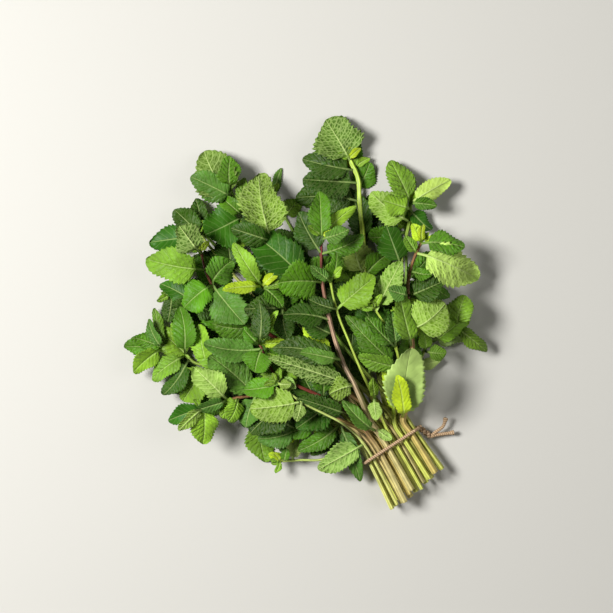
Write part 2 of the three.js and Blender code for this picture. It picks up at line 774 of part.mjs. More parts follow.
function ringThrough(rings) {
  const sides = rings[0].length;
  const faces = rings.flatMap((ring, i) => ring.flatMap((_, k) => {
    const [from, to, next] = [i * sides, ((i + 1) % rings.length) * sides, (k + 1) % sides];
    const [a, b, c, d] = [from + k, from + next, to + k, to + next];
    return [[a, b, d], [a, d, c]];
  }));
  return solidFrom(rings.flat(), faces);
}

function tieLoop() {
  const corners = BUNDLE_ROWS.flatMap((count, row) => {
    const half = ((count - 1) * BUNDLE_PITCH + STEM_SIDE) / 2;
    const z = TIE_WIRE + TIE_GAP + row * BUNDLE_RISE;
    return [[-half, z], [half, z], [-half, z + STEM_SIDE], [half, z + STEM_SIDE]];
  });
  const off = TIE_GAP + TIE_WIRE / 2;
  return Array.from({ length: TIE_TURNS }, (_, n) => {
    const angle = (2 * Math.PI * n) / TIE_TURNS;
    const [dx, dz] = [Math.cos(angle), Math.sin(angle)];
    const reach = corners.map(([x, z]) => x * dx + z * dz);
    const [x, z] = corners[reach.indexOf(Math.max(...reach))];
    const loopX = x + off * dx;
    const y = TIE_Y + TIE_RISE - TIE_SAG * (loopX / TIE_HALF) ** 2;
    return new THREE.Vector3(BUNDLE_X + loopX, y, z + off * dz);
  });
}

function makeTie() {
  const loop = tieLoop();
  const knot = loop.reduce((best, p) => (p.x > best.x ? p : best)).clone();
  knot.x += KNOT_GAP;
  const twistEnd = knot.clone().add(new THREE.Vector3(TWIST_LEAN[0], -TWIST_LENGTH, TWIST_LEAN[1]));
  const twist = [0, 0.33, 0.67, 1].map((t) => knot.clone().lerp(twistEnd, t));
  const twistRadii = [TIE_WIRE / 2, TWIST_WIDTH / 2, TWIST_WIDTH / 2, TIE_WIRE / 2];
  const ends = FREE_ENDS.map((way) => {
    const path = [twistEnd, ...way.map(([x, y, z]) => twistEnd.clone().add(new THREE.Vector3(x, y, z)))];
    return roundTube(path, path.map(() => TIE_WIRE / 2), false);
  });
  const ring = roundTube(loop, loop.map(() => TIE_WIRE / 2), true);
  const looped = ring.add(roundTube(twist, twistRadii, false));
  return ends.reduce((solid, end) => solid.add(end), looped).asOriginal().simplify(SLIVER);
}

// ---- The bunch -----------------------------------------------------------------------------------

const SPRIG_LOOK = { color: 0x4e8a3a, roughness: 0.62, metalness: 0 };
const TIE_LOOK = { color: 0x9b7862, roughness: 0.85, metalness: 0 };

function meshOf(name, solid, look) {
  const { vertProperties, triVerts } = solid.getMesh();
  const geometry = new THREE.BufferGeometry();
  geometry.setAttribute('position', new THREE.BufferAttribute(vertProperties, 3));
  geometry.setIndex(new THREE.BufferAttribute(triVerts, 1));
  const mesh = new THREE.Mesh(mergeVertices(geometry), new THREE.MeshStandardMaterial(look));
  mesh.name = name;
  return mesh;
}

const bunch = new THREE.Group();
for (const p of tieLoop()) {
  for (let s = -3; s <= 3; s += 1) raisePile(p.x, p.y + s / 2, p.z + TIE_WIRE);
}
const taken = BUNDLE_ROWS.map(() => 0);
SPRIGS.forEach((sprig, i) => {
  const solid = makeSprig(sprig, sprig.place ?? taken[sprig.row]);
  taken[sprig.row] += 1;
  bunch.add(meshOf(`sprig_${String(i + 1).padStart(2, '0')}`, solid, SPRIG_LOOK));
});
bunch.add(meshOf('tie', makeTie(), TIE_LOOK));

// The origin is on the surface, under the middle of the bunch.
const box = new THREE.Box3().setFromObject(bunch);
const middle = box.getCenter(new THREE.Vector3());
bunch.position.set(-middle.x, -middle.y, -box.min.z);
bunch.updateMatrixWorld(true);

export default bunch;
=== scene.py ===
import math
from functools import partial

import bmesh
import bpy
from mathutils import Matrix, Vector


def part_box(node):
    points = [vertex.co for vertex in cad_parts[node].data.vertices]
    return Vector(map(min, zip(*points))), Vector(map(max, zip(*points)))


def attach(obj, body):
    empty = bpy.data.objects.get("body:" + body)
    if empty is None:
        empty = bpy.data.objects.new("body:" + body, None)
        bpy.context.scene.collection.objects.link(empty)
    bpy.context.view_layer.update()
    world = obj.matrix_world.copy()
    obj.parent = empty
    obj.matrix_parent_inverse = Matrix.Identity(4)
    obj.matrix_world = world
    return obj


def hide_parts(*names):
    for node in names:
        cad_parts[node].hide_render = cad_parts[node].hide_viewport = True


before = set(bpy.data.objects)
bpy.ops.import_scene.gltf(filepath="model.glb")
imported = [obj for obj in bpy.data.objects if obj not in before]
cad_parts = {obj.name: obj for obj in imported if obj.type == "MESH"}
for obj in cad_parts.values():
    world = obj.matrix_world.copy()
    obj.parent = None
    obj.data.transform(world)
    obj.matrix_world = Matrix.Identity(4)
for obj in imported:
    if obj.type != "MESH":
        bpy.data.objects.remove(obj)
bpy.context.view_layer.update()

MM = 0.001

# ---- Sizes of the bunch, as in its solids ----

STEM_SIDE = 3.5
STEM_END_SIDE = 1.4
STEM_LEAST_SIDE = 1.2
STEM_STEP = 14
STEM_GAP = 0.7
STEM_STIFFNESS = 0.01
BUNDLE_X = -6
BUNDLE_PITCH = 5.7
BUNDLE_RISE = 3.95
BUNDLE_ROWS = [6, 7, 7, 6]
BUNDLE_END_Y = 12
SPREAD_LENGTH = 70
CUT_Y = -28.5
CUT_SLANT = 0.1
CUT_UNEVEN = 2.6
CUT_ASTRAY = 1.1
CUT_SPREAD = 1.13
CUT_SHIFT = -1.8
TIE_Y = 3
TIE_WIRE = 2.1
TIE_GAP = 0.35
BLADE = 1
PETIOLE_SHARE = 0.14
LEAF_STIFFNESS = 0.04
CLEARANCE = 0.5  # of a leaf, over what it lies on
CROWDED = 20  # a leaf of the rule is left out where the pile is higher than this
STEEPEST_RISE = 7  # of a leaf's stalk
SEED = 20817
TIE_TURNS = 24  # places round the loop
TIE_RISE = 1  # towards the leaves, in the middle of the loop
TIE_SAG = 1.6  # the loop dips at its ends, seen from above
TIE_HALF = 20.3  # half its width
TIE_LOW_X = -27.3
TIE_HIGH_Y = 3.915
KNOT_OUT = 0.3  # from the loop's end to the middle of the twist
TWIST_RUN = [3, -9, -1]  # from there to where the two ends part
TWIST_POINTS = 24
TWISTS = 1.5
TWIST_OFF = 0.45  # of the wire's thickness, from the middle of the twist to each strand's
FREE_ENDS = [
    [[4, 0.4, 0.6], [10, 1, 1.4], [14.5, 4.6, 2.4]],
    [[4, -1.6, -0.4], [9, -4, -0.8], [14, -6.2, -0.6]],
]
LOOKS_SEED = 4177  # for what the solids don't have

# ---- The view and the light ----

IMAGE_SIDE = 613  # pixels
MM_PER_PIXEL = 0.62  # at the crown's height
BUNCH_TURN = 33.0  # degrees that the camera is turned over the bunch
VIEW_DISTANCE = 1.1  # metres
VIEW_X, VIEW_Y, VIEW_Z = -3.4, 104.6, 25  # what the camera looks at, in the layout
SKY_STRENGTH = 0.1
FLOOR_SIZE = 6.0
LIGHTS = [  # name, where from the crown (m), size across (m), watts
    ("key", (-0.5, 0.55, 1.0), 0.45, 25),
    ("fill", (0.9, -0.4, 0.9), 1.0, 4),
]

# The sprigs, in the order in which they are laid down.
# row, place: where the stem is held in the bundle. leafy: how far from the tie its leaves begin.
# slim: how thick the stem is, of a full one. way: the points that the stem runs through, each with the
# leaves that are placed there: the x and y of the leaf's tip, its width and its tone.
SPRIGS = [
    {"row": 0, "leafy": 80, "way": [
        [-45, 62], [-74, 90], [-92, 104, [-86, 124, 12, "d"], [-104, 106, 10, "d"]],
    ]},
    {"row": 0, "leafy": 104, "way": [
        [-26, 75], [-52, 122],
        [-72, 158, [-60, 134, 18, "d"], [-48, 150, 16, "d"], [-82, 144, 12, "d"]],
    ]},
    {"row": 0, "leafy": 84, "way": [
        [-12, 90], [-26, 145, [-50, 170, 15, "d"], [-22, 170, 12, "d"]], [-34, 184],
    ]},
    {"row": 0, "leafy": 60, "way": [
        [8, 90], [14, 132, [5, 155, 16, "d"], [26, 150, 16, "d"]], [16, 160, [30, 163, 12, "n"]],
        [16, 176, [31, 187, 6, "g"]],
    ]},
    {"row": 0, "leafy": 84, "way": [
        [26, 75], [50, 118, [69, 142, 16, "d"], [60, 154, 16, "d"]], [64, 148, [80, 159, 15, "m"]],
        [71, 162, [82, 180, 11, "b"], [62, 182, 14, "d"]],
    ]},
    {"row": 0, "leafy": 70, "way": [
        [30, 50], [58, 84, [75, 60, 12, "m"], [82, 90, 13, "m"]],
        [76, 112, [53, 120, 16, "m"], [83, 126, 11, "n"]],
    ]},
    {"row": 1, "leafy": 60, "way": [
        [-34, 36], [-54, 50, [-66, 34, 13, "d"]], [-67, 62, [-79, 36, 18, "n"], [-71, 81, 13, "m"]],
        [-74, 70, [-77, 84, 9, "n"]],
    ]},
    {"row": 1, "leafy": 58, "way": [
        [-28, 62], [-54, 108],
        [-61, 146, [-73, 167, 13, "s"], [-50, 128, 13, "d"], [-75, 149, 13, "d"]],
    ]},
    {"row": 1, "leafy": 62, "way": [
        [-14, 80], [-30, 140],
        [-35, 180, [-65, 193, 17, "s"], [-25, 200, 13, "d"], [-40, 201, 16, "d"]],
    ]},
    {"row": 1, "leafy": 66, "way": [
        [-4, 80], [-8, 140], [-6, 174, [-32, 177, 27, "s"], [8, 194, 10, "n"], [-12, 194, 10, "m"]],
        [-5, 186, [-4, 222, 28, "t"], [-20, 212, 18, "g"]], [-3, 194, [8, 209, 14, "m"]],
    ]},
    {"row": 1, "leafy": 62, "way": [
        [28, 84], [38, 101, [45, 126, 20, "w"], [60, 104, 13, "m"]], [53, 127],
        [61, 142, [28, 166, 22, "d"]], [67, 152, [38, 173, 24, "d"]], [69, 160, [45, 184, 17, "d"]],
        [70, 168, [71, 197, 30, "t"]],
    ]},
    {"row": 1, "leafy": 58, "way": [
        [34, 62], [60, 94, [66, 120, 18, "s"]], [80, 114, [70, 143, 20, "u"]],
        [85, 120, [73, 134, 15, "n"], [89, 102, 11, "s"]],
        [88, 125, [91, 153, 17, "n"], [116, 122, 13, "w"], [99, 113, 8, "m"]],
    ]},
    {"row": 1, "leafy": 90, "way": [
        [18, 22, [29, 57, 14, "d"]], [34, 34, [49, 30, 8, "o"], [42, 60, 15, "m"]],
        [44, 40, [49, 53, 9, "l"], [54, 33, 10, "n"]],
        [51, 44, [74, 35, 14, "o"], [64, 60, 14, "m"], [78, 44, 13, "l"]],
        [70, 43, [76, 19, 10, "n"], [83, 57, 17, "n"]],
    ]},
    {"row": 2, "leafy": 90, "slim": 0.7, "way": [
        [-28, 16], [-42, 17], [-54, 22], [-63, 29, [-54, 40, 9, "o"]],
        [-70, 32, [-74, 40, 6, "y"], [-62, 37, 6, "m"]],
    ]},
    {"row": 2, "leafy": 90, "way": [
        [-18, 18],
        [-25, 32, [-52, 25, 11, "d"], [-35, -6, 11, "g"], [-44, 52, 18, "n"], [-57, 32, 12, "m"]],
        [-38, 39, [-64, 46, 12, "m"], [-46, 60, 8, "m"]],
        [-52, 44, [-74, 52, 15, "g"], [-58, 66, 14, "d"]],
    ]},
    {"row": 2, "place": 3, "leafy": 46, "way": [
        [-30, 66], [-60, 98], [-76, 107, [-66, 132, 14, "l"], [-101, 97, 20, "n"]],
        [-84, 117, [-90, 143, 17, "n"], [-109, 107, 13, "d"]],
        [-83, 121, [-70, 148, 15, "m"], [-110, 119, 13, "n"]],
        [-93, 131, [-114, 146, 13, "m"], [-84, 156, 8, "n"], [-106, 148, 11, "m"]],
        [-95, 133, [-117, 129, 12, "l"], [-91, 152, 7, "g"]],
    ]},
    {"row": 2, "place": 2, "leafy": 46, "slim": 0.85, "way": [
        [-36, 52], [-60, 76, [-70, 112, 19, "g"], [-76, 62, 15, "g"]],
        [-70, 80, [-86, 76, 12, "n"], [-83, 71, 11, "l"]],
        [-76, 83, [-82, 111, 17, "p"], [-96, 88, 8, "g"]],
        [-91, 86, [-114, 92, 12, "s"], [-104, 68, 16, "l"]], [-93, 87, [-111, 83, 8, "u"]],
    ]},
    {"row": 2, "leafy": 46, "slim": 0.85, "way": [
        [-22, 80], [-40, 120],
        [-46, 148, [-41, 116, 23, "g"], [-67, 145, 20, "b"], [-26, 153, 18, "m"]],
        [-44, 158, [-71, 184, 21, "n"]], [-40, 170, [-42, 189, 18, "t"]],
    ]},
    {"row": 2, "leafy": 46, "way": [
        [-8, 70, [-12, 96, 11, "y"], [-28, 84, 14, "d"]],
        [-16, 112, [-36, 124, 15, "d"], [2, 124, 13, "m"], [-24, 94, 14, "d"]],
        [-20, 129, [-19, 162, 11, "l"], [-16, 112, 10, "m"], [-5, 124, 5, "n"]],
        [-20, 132, [-5, 133, 6, "y"], [-41, 141, 8, "y"]],
    ]},
    {"row": 2, "leafy": 46, "way": [
        [2, 80, [-10, 104, 13, "d"]], [5, 118, [-8, 163, 25, "s"], [30, 120, 15, "m"]],
        [0, 152, [17, 191, 27, "u"], [-16, 170, 14, "d"]],
    ]},
    {"row": 3, "place": 1, "leafy": 90, "slim": 0.9, "way": [
        [-17, 34, [-39, 61, 12, "d"]], [-26, 52, [-12, 76, 14, "m"]], [-34, 66],
        [-42, 76, [-60, 72, 12, "d"], [-36, 66, 6, "p"]],
        [-41, 98, [-69, 120, 15, "g"], [-52, 88, 18, "m"]],
        [-40, 103, [-19, 112, 6, "l"], [-22, 88, 6, "y"], [-43, 115, 7, "b"], [-26, 122, 12, "d"]],
    ]},
    {"row": 3, "place": 4, "leafy": 90, "slim": 0.8, "way": [
        [5, 18, [17, 51, 8, "y"]], [11, 26], [24, 42, [14, 87, 13, "m"], [6, 62, 11, "n"]],
        [29, 54, [24, 80, 10, "m"], [38, 74, 10, "g"]], [31, 68],
        [31, 81, [61, 96, 15, "u"], [25, 96, 10, "d"]],
    ]},
    {"row": 3, "place": 5, "leafy": 90, "slim": 0.95, "way": [
        [11, 11, [36, 36, 17, "o"], [36, 49, 25, "o"], [20, 40, 11, "y"]], [22, 28],
        [38, 48, [49, 81, 14, "n"]], [43, 58, [69, 60, 26, "u"]],
        [53, 76, [75, 72, 16, "d"], [44, 86, 10, "g"]], [62, 88, [72, 79, 8, "m"]],
        [72, 95, [96, 60, 24, "w"], [72, 108, 8, "n"]], [78, 98, [98, 82, 14, "m"], [80, 112, 8, "y"]],
        [80, 100, [85, 108, 5, "y"]],
    ]},
    {"row": 3, "place": 0, "leafy": 90, "slim": 0.5, "way": [
        [-20, 13, [-53, 15, 16, "p"]], [-24, 32], [-38, 57, [-67, 71, 22, "u"], [-47, 49, 7, "t"]],
        [-44, 76, [-64, 83, 13, "b"], [-37, 70, 6, "u"]],
    ]},
    {"row": 3, "place": 2, "leafy": 130, "slim": 0.95, "way": [
        [-10, 16, [-4, 6, 6, "w"], [-16, 44, 9, "g"]], [-8, 28],
        [-5, 48, [-40, 91, 12, "t"], [-21, 52, 14, "u"]],
        [-3, 66, [-34, 95, 15, "d"], [-22, 84, 9, "g"]], [4, 90, [-18, 108, 14, "d"]],
        [13, 112, [-10, 126, 23, "m"], [32, 117, 8, "n"]],
        [22, 127, [24, 156, 16, "d"], [50, 122, 14, "m"]],
        [28, 136, [56, 140, 9, "l"], [42, 160, 14, "m"], [44, 130, 10, "g"]],
    ]},
    {"row": 3, "place": 3, "leafy": 130, "slim": 0.6, "way": [
        [1, 34, [-5, 22, 8, "p"], [7, 46, 6, "l"]], [3, 52], [7, 74],
        [11, 93, [42, 97, 19, "n"], [0, 108, 10, "d"]], [18, 111, [30, 122, 8, "m"], [12, 124, 7, "g"]],
    ]},
]

# ---- The layout: the same steps as the solids' ----


def seeded_draws(seed):
    """Draws between two limits, the same each time."""
    state = seed

    def draw(low, high):
        nonlocal state
        state = (state * 16807) % 2147483647
        return low + (high - low) * state / 2147483647

    return draw


draw = seeded_draws(SEED)


def leaf_half_width(u):
    """Half the width of a leaf of width 1, from its stem (0) to its tip (1)."""
    q = max(u - PETIOLE_SHARE, 0) / (1 - PETIOLE_SHARE)
    return 0.5 * max(math.sin(math.pi * q**0.72), 0) ** 0.54


def mixed(a, b, share):
    """A point or a colour on the straight way from a to b."""
    return [p + (q - p) * share for p, q in zip(a, b)]


def eased(a, out, b, back, t):
    """A value on its way from a to b, with the slopes out of a and back into b."""
    t2, t3 = t * t, t * t * t
    leaving = a * (2 * t3 - 3 * t2 + 1) + out * (t3 - 2 * t2 + t)
    return leaving + b * (3 * t2 - 2 * t3) + back * (t3 - t2)


LINE_SPANS = 16  # between two points that a smooth line runs through


def smooth_line(origin, points, step):
    """A smooth line in plan, leaving the first point as if from origin, as evenly spaced points."""
    fine = [points[0]]
    for i in range(len(points) - 1):
        a, b = points[i], points[i + 1]
        before = points[i - 1] if i else origin
        after = points[i + 2] if i + 2 < len(points) else [2 * b[0] - a[0], 2 * b[1] - a[1]]
        out = [(q - p) / 2 for p, q in zip(before, b)]
        back = [(q - p) / 2 for p, q in zip(a, after)]
        for k in range(1, LINE_SPANS + 1):
            fine.append([eased(*ends, k / LINE_SPANS) for ends in zip(a, out, b, back)])
    along = lengths_along(fine)
    count = math.ceil(along[-1] / step)
    even = []
    i = 1
    for n in range(count + 1):
        wanted = along[-1] * n / count
        while i < len(fine) - 1 and along[i] < wanted:
            i += 1
        t = (wanted - along[i - 1]) / (along[i] - along[i - 1])
        even.append(mixed(fine[i - 1], fine[i], t))
    return even


def heading(a, b):
    return math.atan2(b[1] - a[1], b[0] - a[0])


def point_away(start, angle, distance):
    return [start[0] + distance * math.cos(angle), start[1] + distance * math.sin(angle)]


def lengths_along(line):
    along = [0]
    for a, b in zip(line, line[1:]):
        along.append(along[-1] + math.dist(a, b))
    return along


# The pile: how high it is so far, over each square millimetre of a field round the bunch.
FIELD_X = -135
FIELD_Y = -45
FIELD_COLUMNS = 270
FIELD_ROWS = 290
pile = [0.0] * (FIELD_COLUMNS * FIELD_ROWS)


def cell_at(x, y):
    return int(y - FIELD_Y + 0.5) * FIELD_COLUMNS + int(x - FIELD_X + 0.5)


def raise_pile(x, y, z):
    cell = cell_at(x, y)
    if z > pile[cell]:
        pile[cell] = z


def clear_heights(heights, touches):
    """A line's heights, raised until it clears every touch: span, how far along it, least height."""
    raised = list(heights)
    most = list(heights)
    for i, _, least in touches:
        most[i] = max(most[i], least)
        most[i + 1] = max(most[i + 1], least)
    touches.sort(key=lambda touch: -touch[2])
    for i, t, least in touches:
        short = least - (raised[i] * (1 - t) + raised[i + 1] * t)
        if short <= 0:
            continue
        share = short / ((1 - t) ** 2 + t**2)
        after = min(raised[i + 1] + share * t, most[i + 1])
        if t < 1:
            raised[i] = min((least - after * t) / (1 - t), most[i])
        if t > 0:
            raised[i + 1] = max((least - raised[i] * (1 - t)) / t, raised[i + 1])
    return raised


def stiffen(heights, along, stiffness):
    """The lowest heights over these that bend down no more sharply than the stiffness allows."""
    return [max(z - stiffness * (s - a) ** 2 for z, a in zip(heights, along)) for s in along]


def stem_side(share, slim):
    return max(slim * (STEM_SIDE + (STEM_END_SIDE - STEM_SIDE) * share), STEM_LEAST_SIDE)


def steps(start, stop, step):
    value = start
    while value <= stop:
        yield value
        value += step


def stem_heights(line, along, slim, bundle_z):
    length = along[-1]
    lowest = [
        stem_side(s / length, slim) / 2 if y > BUNDLE_END_Y else bundle_z
        for (_, y), s in zip(line, along)
    ]
    touches = []
    for i in range(len(line) - 1):
        a, b = line[i], line[i + 1]
        if a[1] < BUNDLE_END_Y:
            continue
        half = stem_side(along[i] / length, slim) / 2
        span = along[i + 1] - along[i]
        side = [-(b[1] - a[1]) / span, (b[0] - a[0]) / span]
        for s in steps(0, span, 1):
            for v in steps(-half - STEM_GAP, half + STEM_GAP, (half + STEM_GAP) / 3):
                x = a[0] + (b[0] - a[0]) * s / span + side[0] * v
                y = a[1] + (b[1] - a[1]) * s / span + side[1] * v
                z = pile[cell_at(x, y)]
                if z > 0:
                    touches.append((i, s / span, z + STEM_GAP + half))
    clear = clear_heights(lowest, touches)
    stiff = stiffen(clear, along, STEM_STIFFNESS)
    heights = []
    for i, (_, y) in enumerate(line):
        free = min(max((y - BUNDLE_END_Y) / SPREAD_LENGTH, 0), 1)
        let_go = free * free * (3 - 2 * free)
        on_way = max(clear[i], bundle_z + (stiff[i] - bundle_z) * let_go)
        heights.append(on_way if y > BUNDLE_END_Y else bundle_z)
    return heights


LEAF_STATIONS = [0, PETIOLE_SHARE, 0.42, 0.7, 1]
BLADE_GRID = 0.7  # between the points of a leaf that are tried against the pile
BLADE_MARGIN = 0.3  # round a leaf's edge
LEAN_SHARE = 0.8  # how much a leaf leans with what is under it
MOST_ROLL = 0.55
ROOT_DEPTH = 0.6  # of a leaf, in its stem
LEAF_BOW = (-0.07, 0.07)  # to the side, of its length
LEAF_ROLL = (-0.1, 0.1)
LEAF_FOLD = (0.03, 0.15)
LEAF_RISE = (0, 0.2)
LEAF_DROOP = (0.006, 0.018)  # per mm


def span_at(u, first=0):
    """Which span between two stations a place on a leaf is in, and how far along that span."""
    i = max(next(i for i, s in enumerate(LEAF_STATIONS) if s >= u - 1e-9) - 1, first)
    return i, (u - LEAF_STATIONS[i]) / (LEAF_STATIONS[i + 1] - LEAF_STATIONS[i])


class Leaf:
    """A leaf of the layout: where it grows, its tip in plan, and how it lies on the pile."""

    def __init__(self, root, tip, width, by_rule, tone):
        self.root = root
        self.width = width
        self.by_rule = by_rule
        self.tone = tone
        self.bow = draw(*LEAF_BOW)
        self.roll = draw(*LEAF_ROLL)
        self.fold = draw(*LEAF_FOLD)
        self.rise = draw(*LEAF_RISE)
        self.droop = draw(*LEAF_DROOP)
        self.reach = [tip[0] - root[0], tip[1] - root[1]]
        self.length = math.hypot(*self.reach)
        self.across = [-self.reach[1] / self.length, self.reach[0] / self.length]
        self.heights = None

    def at(self, u, v):
        aside = self.bow * self.length * 4 * u * (1 - u) + v
        return [
            self.root[0] + self.reach[0] * u + self.across[0] * aside,
            self.root[1] + self.reach[1] * u + self.across[1] * aside,
        ]

    def blade_points(self):
        count = math.ceil(self.length / BLADE_GRID)
        for n in range(1, count + 1):
            u = n / count
            if u < PETIOLE_SHARE:
                continue
            half = self.width * leaf_half_width(u) + BLADE_MARGIN
            across = math.ceil(half / BLADE_GRID)
            for k in range(-across, across + 1):
                v = half * k / across
                yield *self.at(u, v), u, v

    def height(self, u, v):
        i, t = span_at(u)
        middle = self.heights[i] + t * (self.heights[i + 1] - self.heights[i])
        return middle + self.roll * v + self.fold * abs(v)

    def lay(self):
        """Lays the leaf over the pile, or says that there is no room for it."""
        points = list(self.blade_points())
        right = [pile[cell_at(x, y)] for x, y, _, v in points if v < 0]
        left = [pile[cell_at(x, y)] for x, y, _, v in points if v > 0]
        if self.by_rule and (sum(right) + sum(left)) / (len(right) + len(left)) > CROWDED:
            return False
        bare = all(pile[cell_at(x, y)] <= 0 for x, y, _, _ in points)
        lean = (sum(left) / len(left) - sum(right) / len(right)) / (self.width * 0.5)
        self.roll = 0 if bare else min(max(lean * LEAN_SHARE + self.roll, -MOST_ROLL), MOST_ROLL)
        self.fold = 0 if bare else self.fold
        along = [u * self.length for u in LEAF_STATIONS]
        lowest = [max(self.root[2] + self.rise * s - self.droop * s * s, BLADE / 2) for s in along]
        touches = []
        for x, y, u, v in points:
            z = pile[cell_at(x, y)]
            gap = CLEARANCE if z > 0 else 0
            least = z + gap + BLADE / 2 - self.roll * v - self.fold * abs(v)
            touches.append((*span_at(u, 1), least))
        heights = stiffen(clear_heights(lowest, touches), along, LEAF_STIFFNESS)
        self.heights = [self.root[2]] + heights[1:]
        if self.by_rule and self.heights[1] - self.root[2] > STEEPEST_RISE:
            return False
        for x, y, u, v in points:
            raise_pile(x, y, self.height(u, v) + BLADE / 2)
        return True


INTERNODE = 25  # between two pairs of leaves
INTERNODE_NEAR_TIP = 16
RULE_LENGTH = [36, 18]  # of a leaf low on the stem and near its end
RULE_WIDTH = 0.68  # of its length
SLIM = [0.75, 1.0]
OPEN_TURN = [52, 80]  # degrees from the stem
FORWARD_TURN = [24, 42]
LENGTH_SPREAD = (0.85, 1.1)
WIDTH_SPREAD = (0.92, 1.1)
STEM_PRINT_STEP = 0.8  # between the places where a stem is laid on the pile
NEAREST_STEP = 0.5
AHEAD = 2  # how far along it a stem's heading is taken, for a leaf that grows there
HEADING_REACH = 4  # and for pairs of leaves and the stem's end


class Sprig:
    """A stem in its place in the bundle, with its leaves, laid over the pile."""

    def __init__(self, plan, place):
        count = BUNDLE_ROWS[plan["row"]]
        slot_x = BUNDLE_X + (place - (count - 1) / 2) * BUNDLE_PITCH
        bundle_z = TIE_WIRE + TIE_GAP + STEM_SIDE / 2 + plan["row"] * BUNDLE_RISE
        cut_x = BUNDLE_X + (slot_x - BUNDLE_X) * CUT_SPREAD + CUT_SHIFT + draw(-CUT_ASTRAY, CUT_ASTRAY)
        cut = [cut_x, CUT_Y + CUT_SLANT * (cut_x - BUNDLE_X) + draw(-CUT_UNEVEN, CUT_UNEVEN)]
        self.slim = plan["slim"] if "slim" in plan else draw(*SLIM)
        held = [cut, [slot_x, TIE_Y]]
        way = [point[:2] for point in plan["way"]]
        self.line = held + smooth_line(held[1], [[slot_x, BUNDLE_END_Y]] + way, STEM_STEP)
        self.along = lengths_along(self.line)
        self.length = self.along[-1]
        heights = stem_heights(self.line, self.along, self.slim, bundle_z)
        self.points = [[x, y, z] for (x, y), z in zip(self.line, heights)]
        self.leaves = []
        if plan["row"] > 0:
            self.lay_stem()
        self.grow_by_rule(plan)
        for point in plan["way"]:
            for x, y, width, tone in point[2:]:
                self.grow(self.nearest(point), [x, y], width, False, tone)
        if plan["row"] == 0:
            self.lay_stem()

    def on_stem(self, s):
        i = max(next(i for i, a in enumerate(self.along) if a >= s - 1e-9), 1)
        t = (s - self.along[i - 1]) / (self.along[i] - self.along[i - 1])
        return mixed(self.points[i - 1], self.points[i], t)

    def lay_stem(self):
        for s in steps(0, self.length, STEM_PRINT_STEP):
            x, y, z = self.on_stem(s)
            half = stem_side(s / self.length, self.slim) / 2
            for v in steps(-half, half, half / 2):
                raise_pile(x + v, y, z + half)
                raise_pile(x, y + v, z + half)

    def nearest(self, point):
        far = [math.hypot(p[0] - point[0], p[1] - point[1]) for p in self.line]
        i = far.index(min(far))
        low, high = self.along[max(i - 1, 0)], self.along[min(i + 1, len(self.line) - 1)]
        best, best_far = low, math.inf
        for s in steps(low, high, NEAREST_STEP):
            x, y, _ = self.on_stem(s)
            distance = math.hypot(x - point[0], y - point[1])
            if distance < best_far:
                best, best_far = s, distance
        return best

    def grow(self, s, tip, width, by_rule, tone):
        here = self.on_stem(min(s, self.length - AHEAD))
        ahead = self.on_stem(min(s + AHEAD, self.length))
        dx, dy = ahead[0] - here[0], ahead[1] - here[1]
        hand = math.copysign(1, dx * (tip[1] - here[1]) - dy * (tip[0] - here[0]))
        half = stem_side(s / self.length, self.slim) / 2
        out = hand * (half - min(ROOT_DEPTH, half)) / math.hypot(dx, dy)
        leaf = Leaf([here[0] - dy * out, here[1] + dx * out, here[2]], tip, width, by_rule, tone)
        if leaf.lay():
            self.leaves.append(leaf)

    def grow_by_rule(self, plan):
        placed = [point for point in plan["way"] if len(point) > 2]
        end = self.nearest(placed[0]) - INTERNODE_NEAR_TIP if placed else self.length - HEADING_REACH
        open_pair = draw(0, 1) > 0.5
        s = self.along[1] + plan["leafy"]
        while s < end:
            share = s / self.length
            here, ahead = self.on_stem(s), self.on_stem(min(s + HEADING_REACH, self.length))
            for hand in (1, -1):
                turn = hand * (draw(*OPEN_TURN) if open_pair else draw(*FORWARD_TURN))
                usual = RULE_LENGTH[0] + (RULE_LENGTH[1] - RULE_LENGTH[0]) * share**3
                long = usual * draw(*LENGTH_SPREAD)
                tip = point_away(here, heading(here, ahead) + math.radians(turn), long)
                self.grow(s, tip, long * RULE_WIDTH * draw(*WIDTH_SPREAD), True, "")
            s += INTERNODE + (INTERNODE_NEAR_TIP - INTERNODE) * share**2
            open_pair = not open_pair


sprigs = []
taken = [0] * len(BUNDLE_ROWS)


def tie_loop():
    """The wire's middle round the bundle, in the places of the solid's corners."""
    corners = []
    for row, count in enumerate(BUNDLE_ROWS):
        half = ((count - 1) * BUNDLE_PITCH + STEM_SIDE) / 2
        low = TIE_WIRE + TIE_GAP + row * BUNDLE_RISE
        corners += [(-half, low), (half, low), (-half, low + STEM_SIDE), (half, low + STEM_SIDE)]
    off = TIE_GAP + TIE_WIRE / 2
    loop = []
    for n in range(TIE_TURNS):
        angle = 2 * math.pi * n / TIE_TURNS
        dx, dz = math.cos(angle), math.sin(angle)
        x, z = max(corners, key=lambda corner: round(corner[0] * dx + corner[1] * dz, 9))
        loop_x = x + off * dx
        loop_y = TIE_Y + TIE_RISE - TIE_SAG * (loop_x / TIE_HALF) ** 2
        loop.append([BUNDLE_X + loop_x, loop_y, z + off * dz])
    return loop


for x, y, z in tie_loop():
    for s in range(-3, 4):
        raise_pile(x, y + s / 2, z + TIE_WIRE)
for plan in SPRIGS:
    sprigs.append(Sprig(plan, plan.get("place", taken[plan["row"]])))
    taken[plan["row"]] += 1

# The solids' tie gives where the layout lies in the frame.
tie_low, tie_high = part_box("tie")
SHIFT_X = tie_low.x / MM - TIE_LOW_X
SHIFT_Y = tie_high.y / MM - TIE_HIGH_Y


def in_frame(x, y, z):
    """A point of the layout, in the frame and in metres."""
    return ((x + SHIFT_X) * MM, (y + SHIFT_Y) * MM, z * MM)


# ---- Colours ----


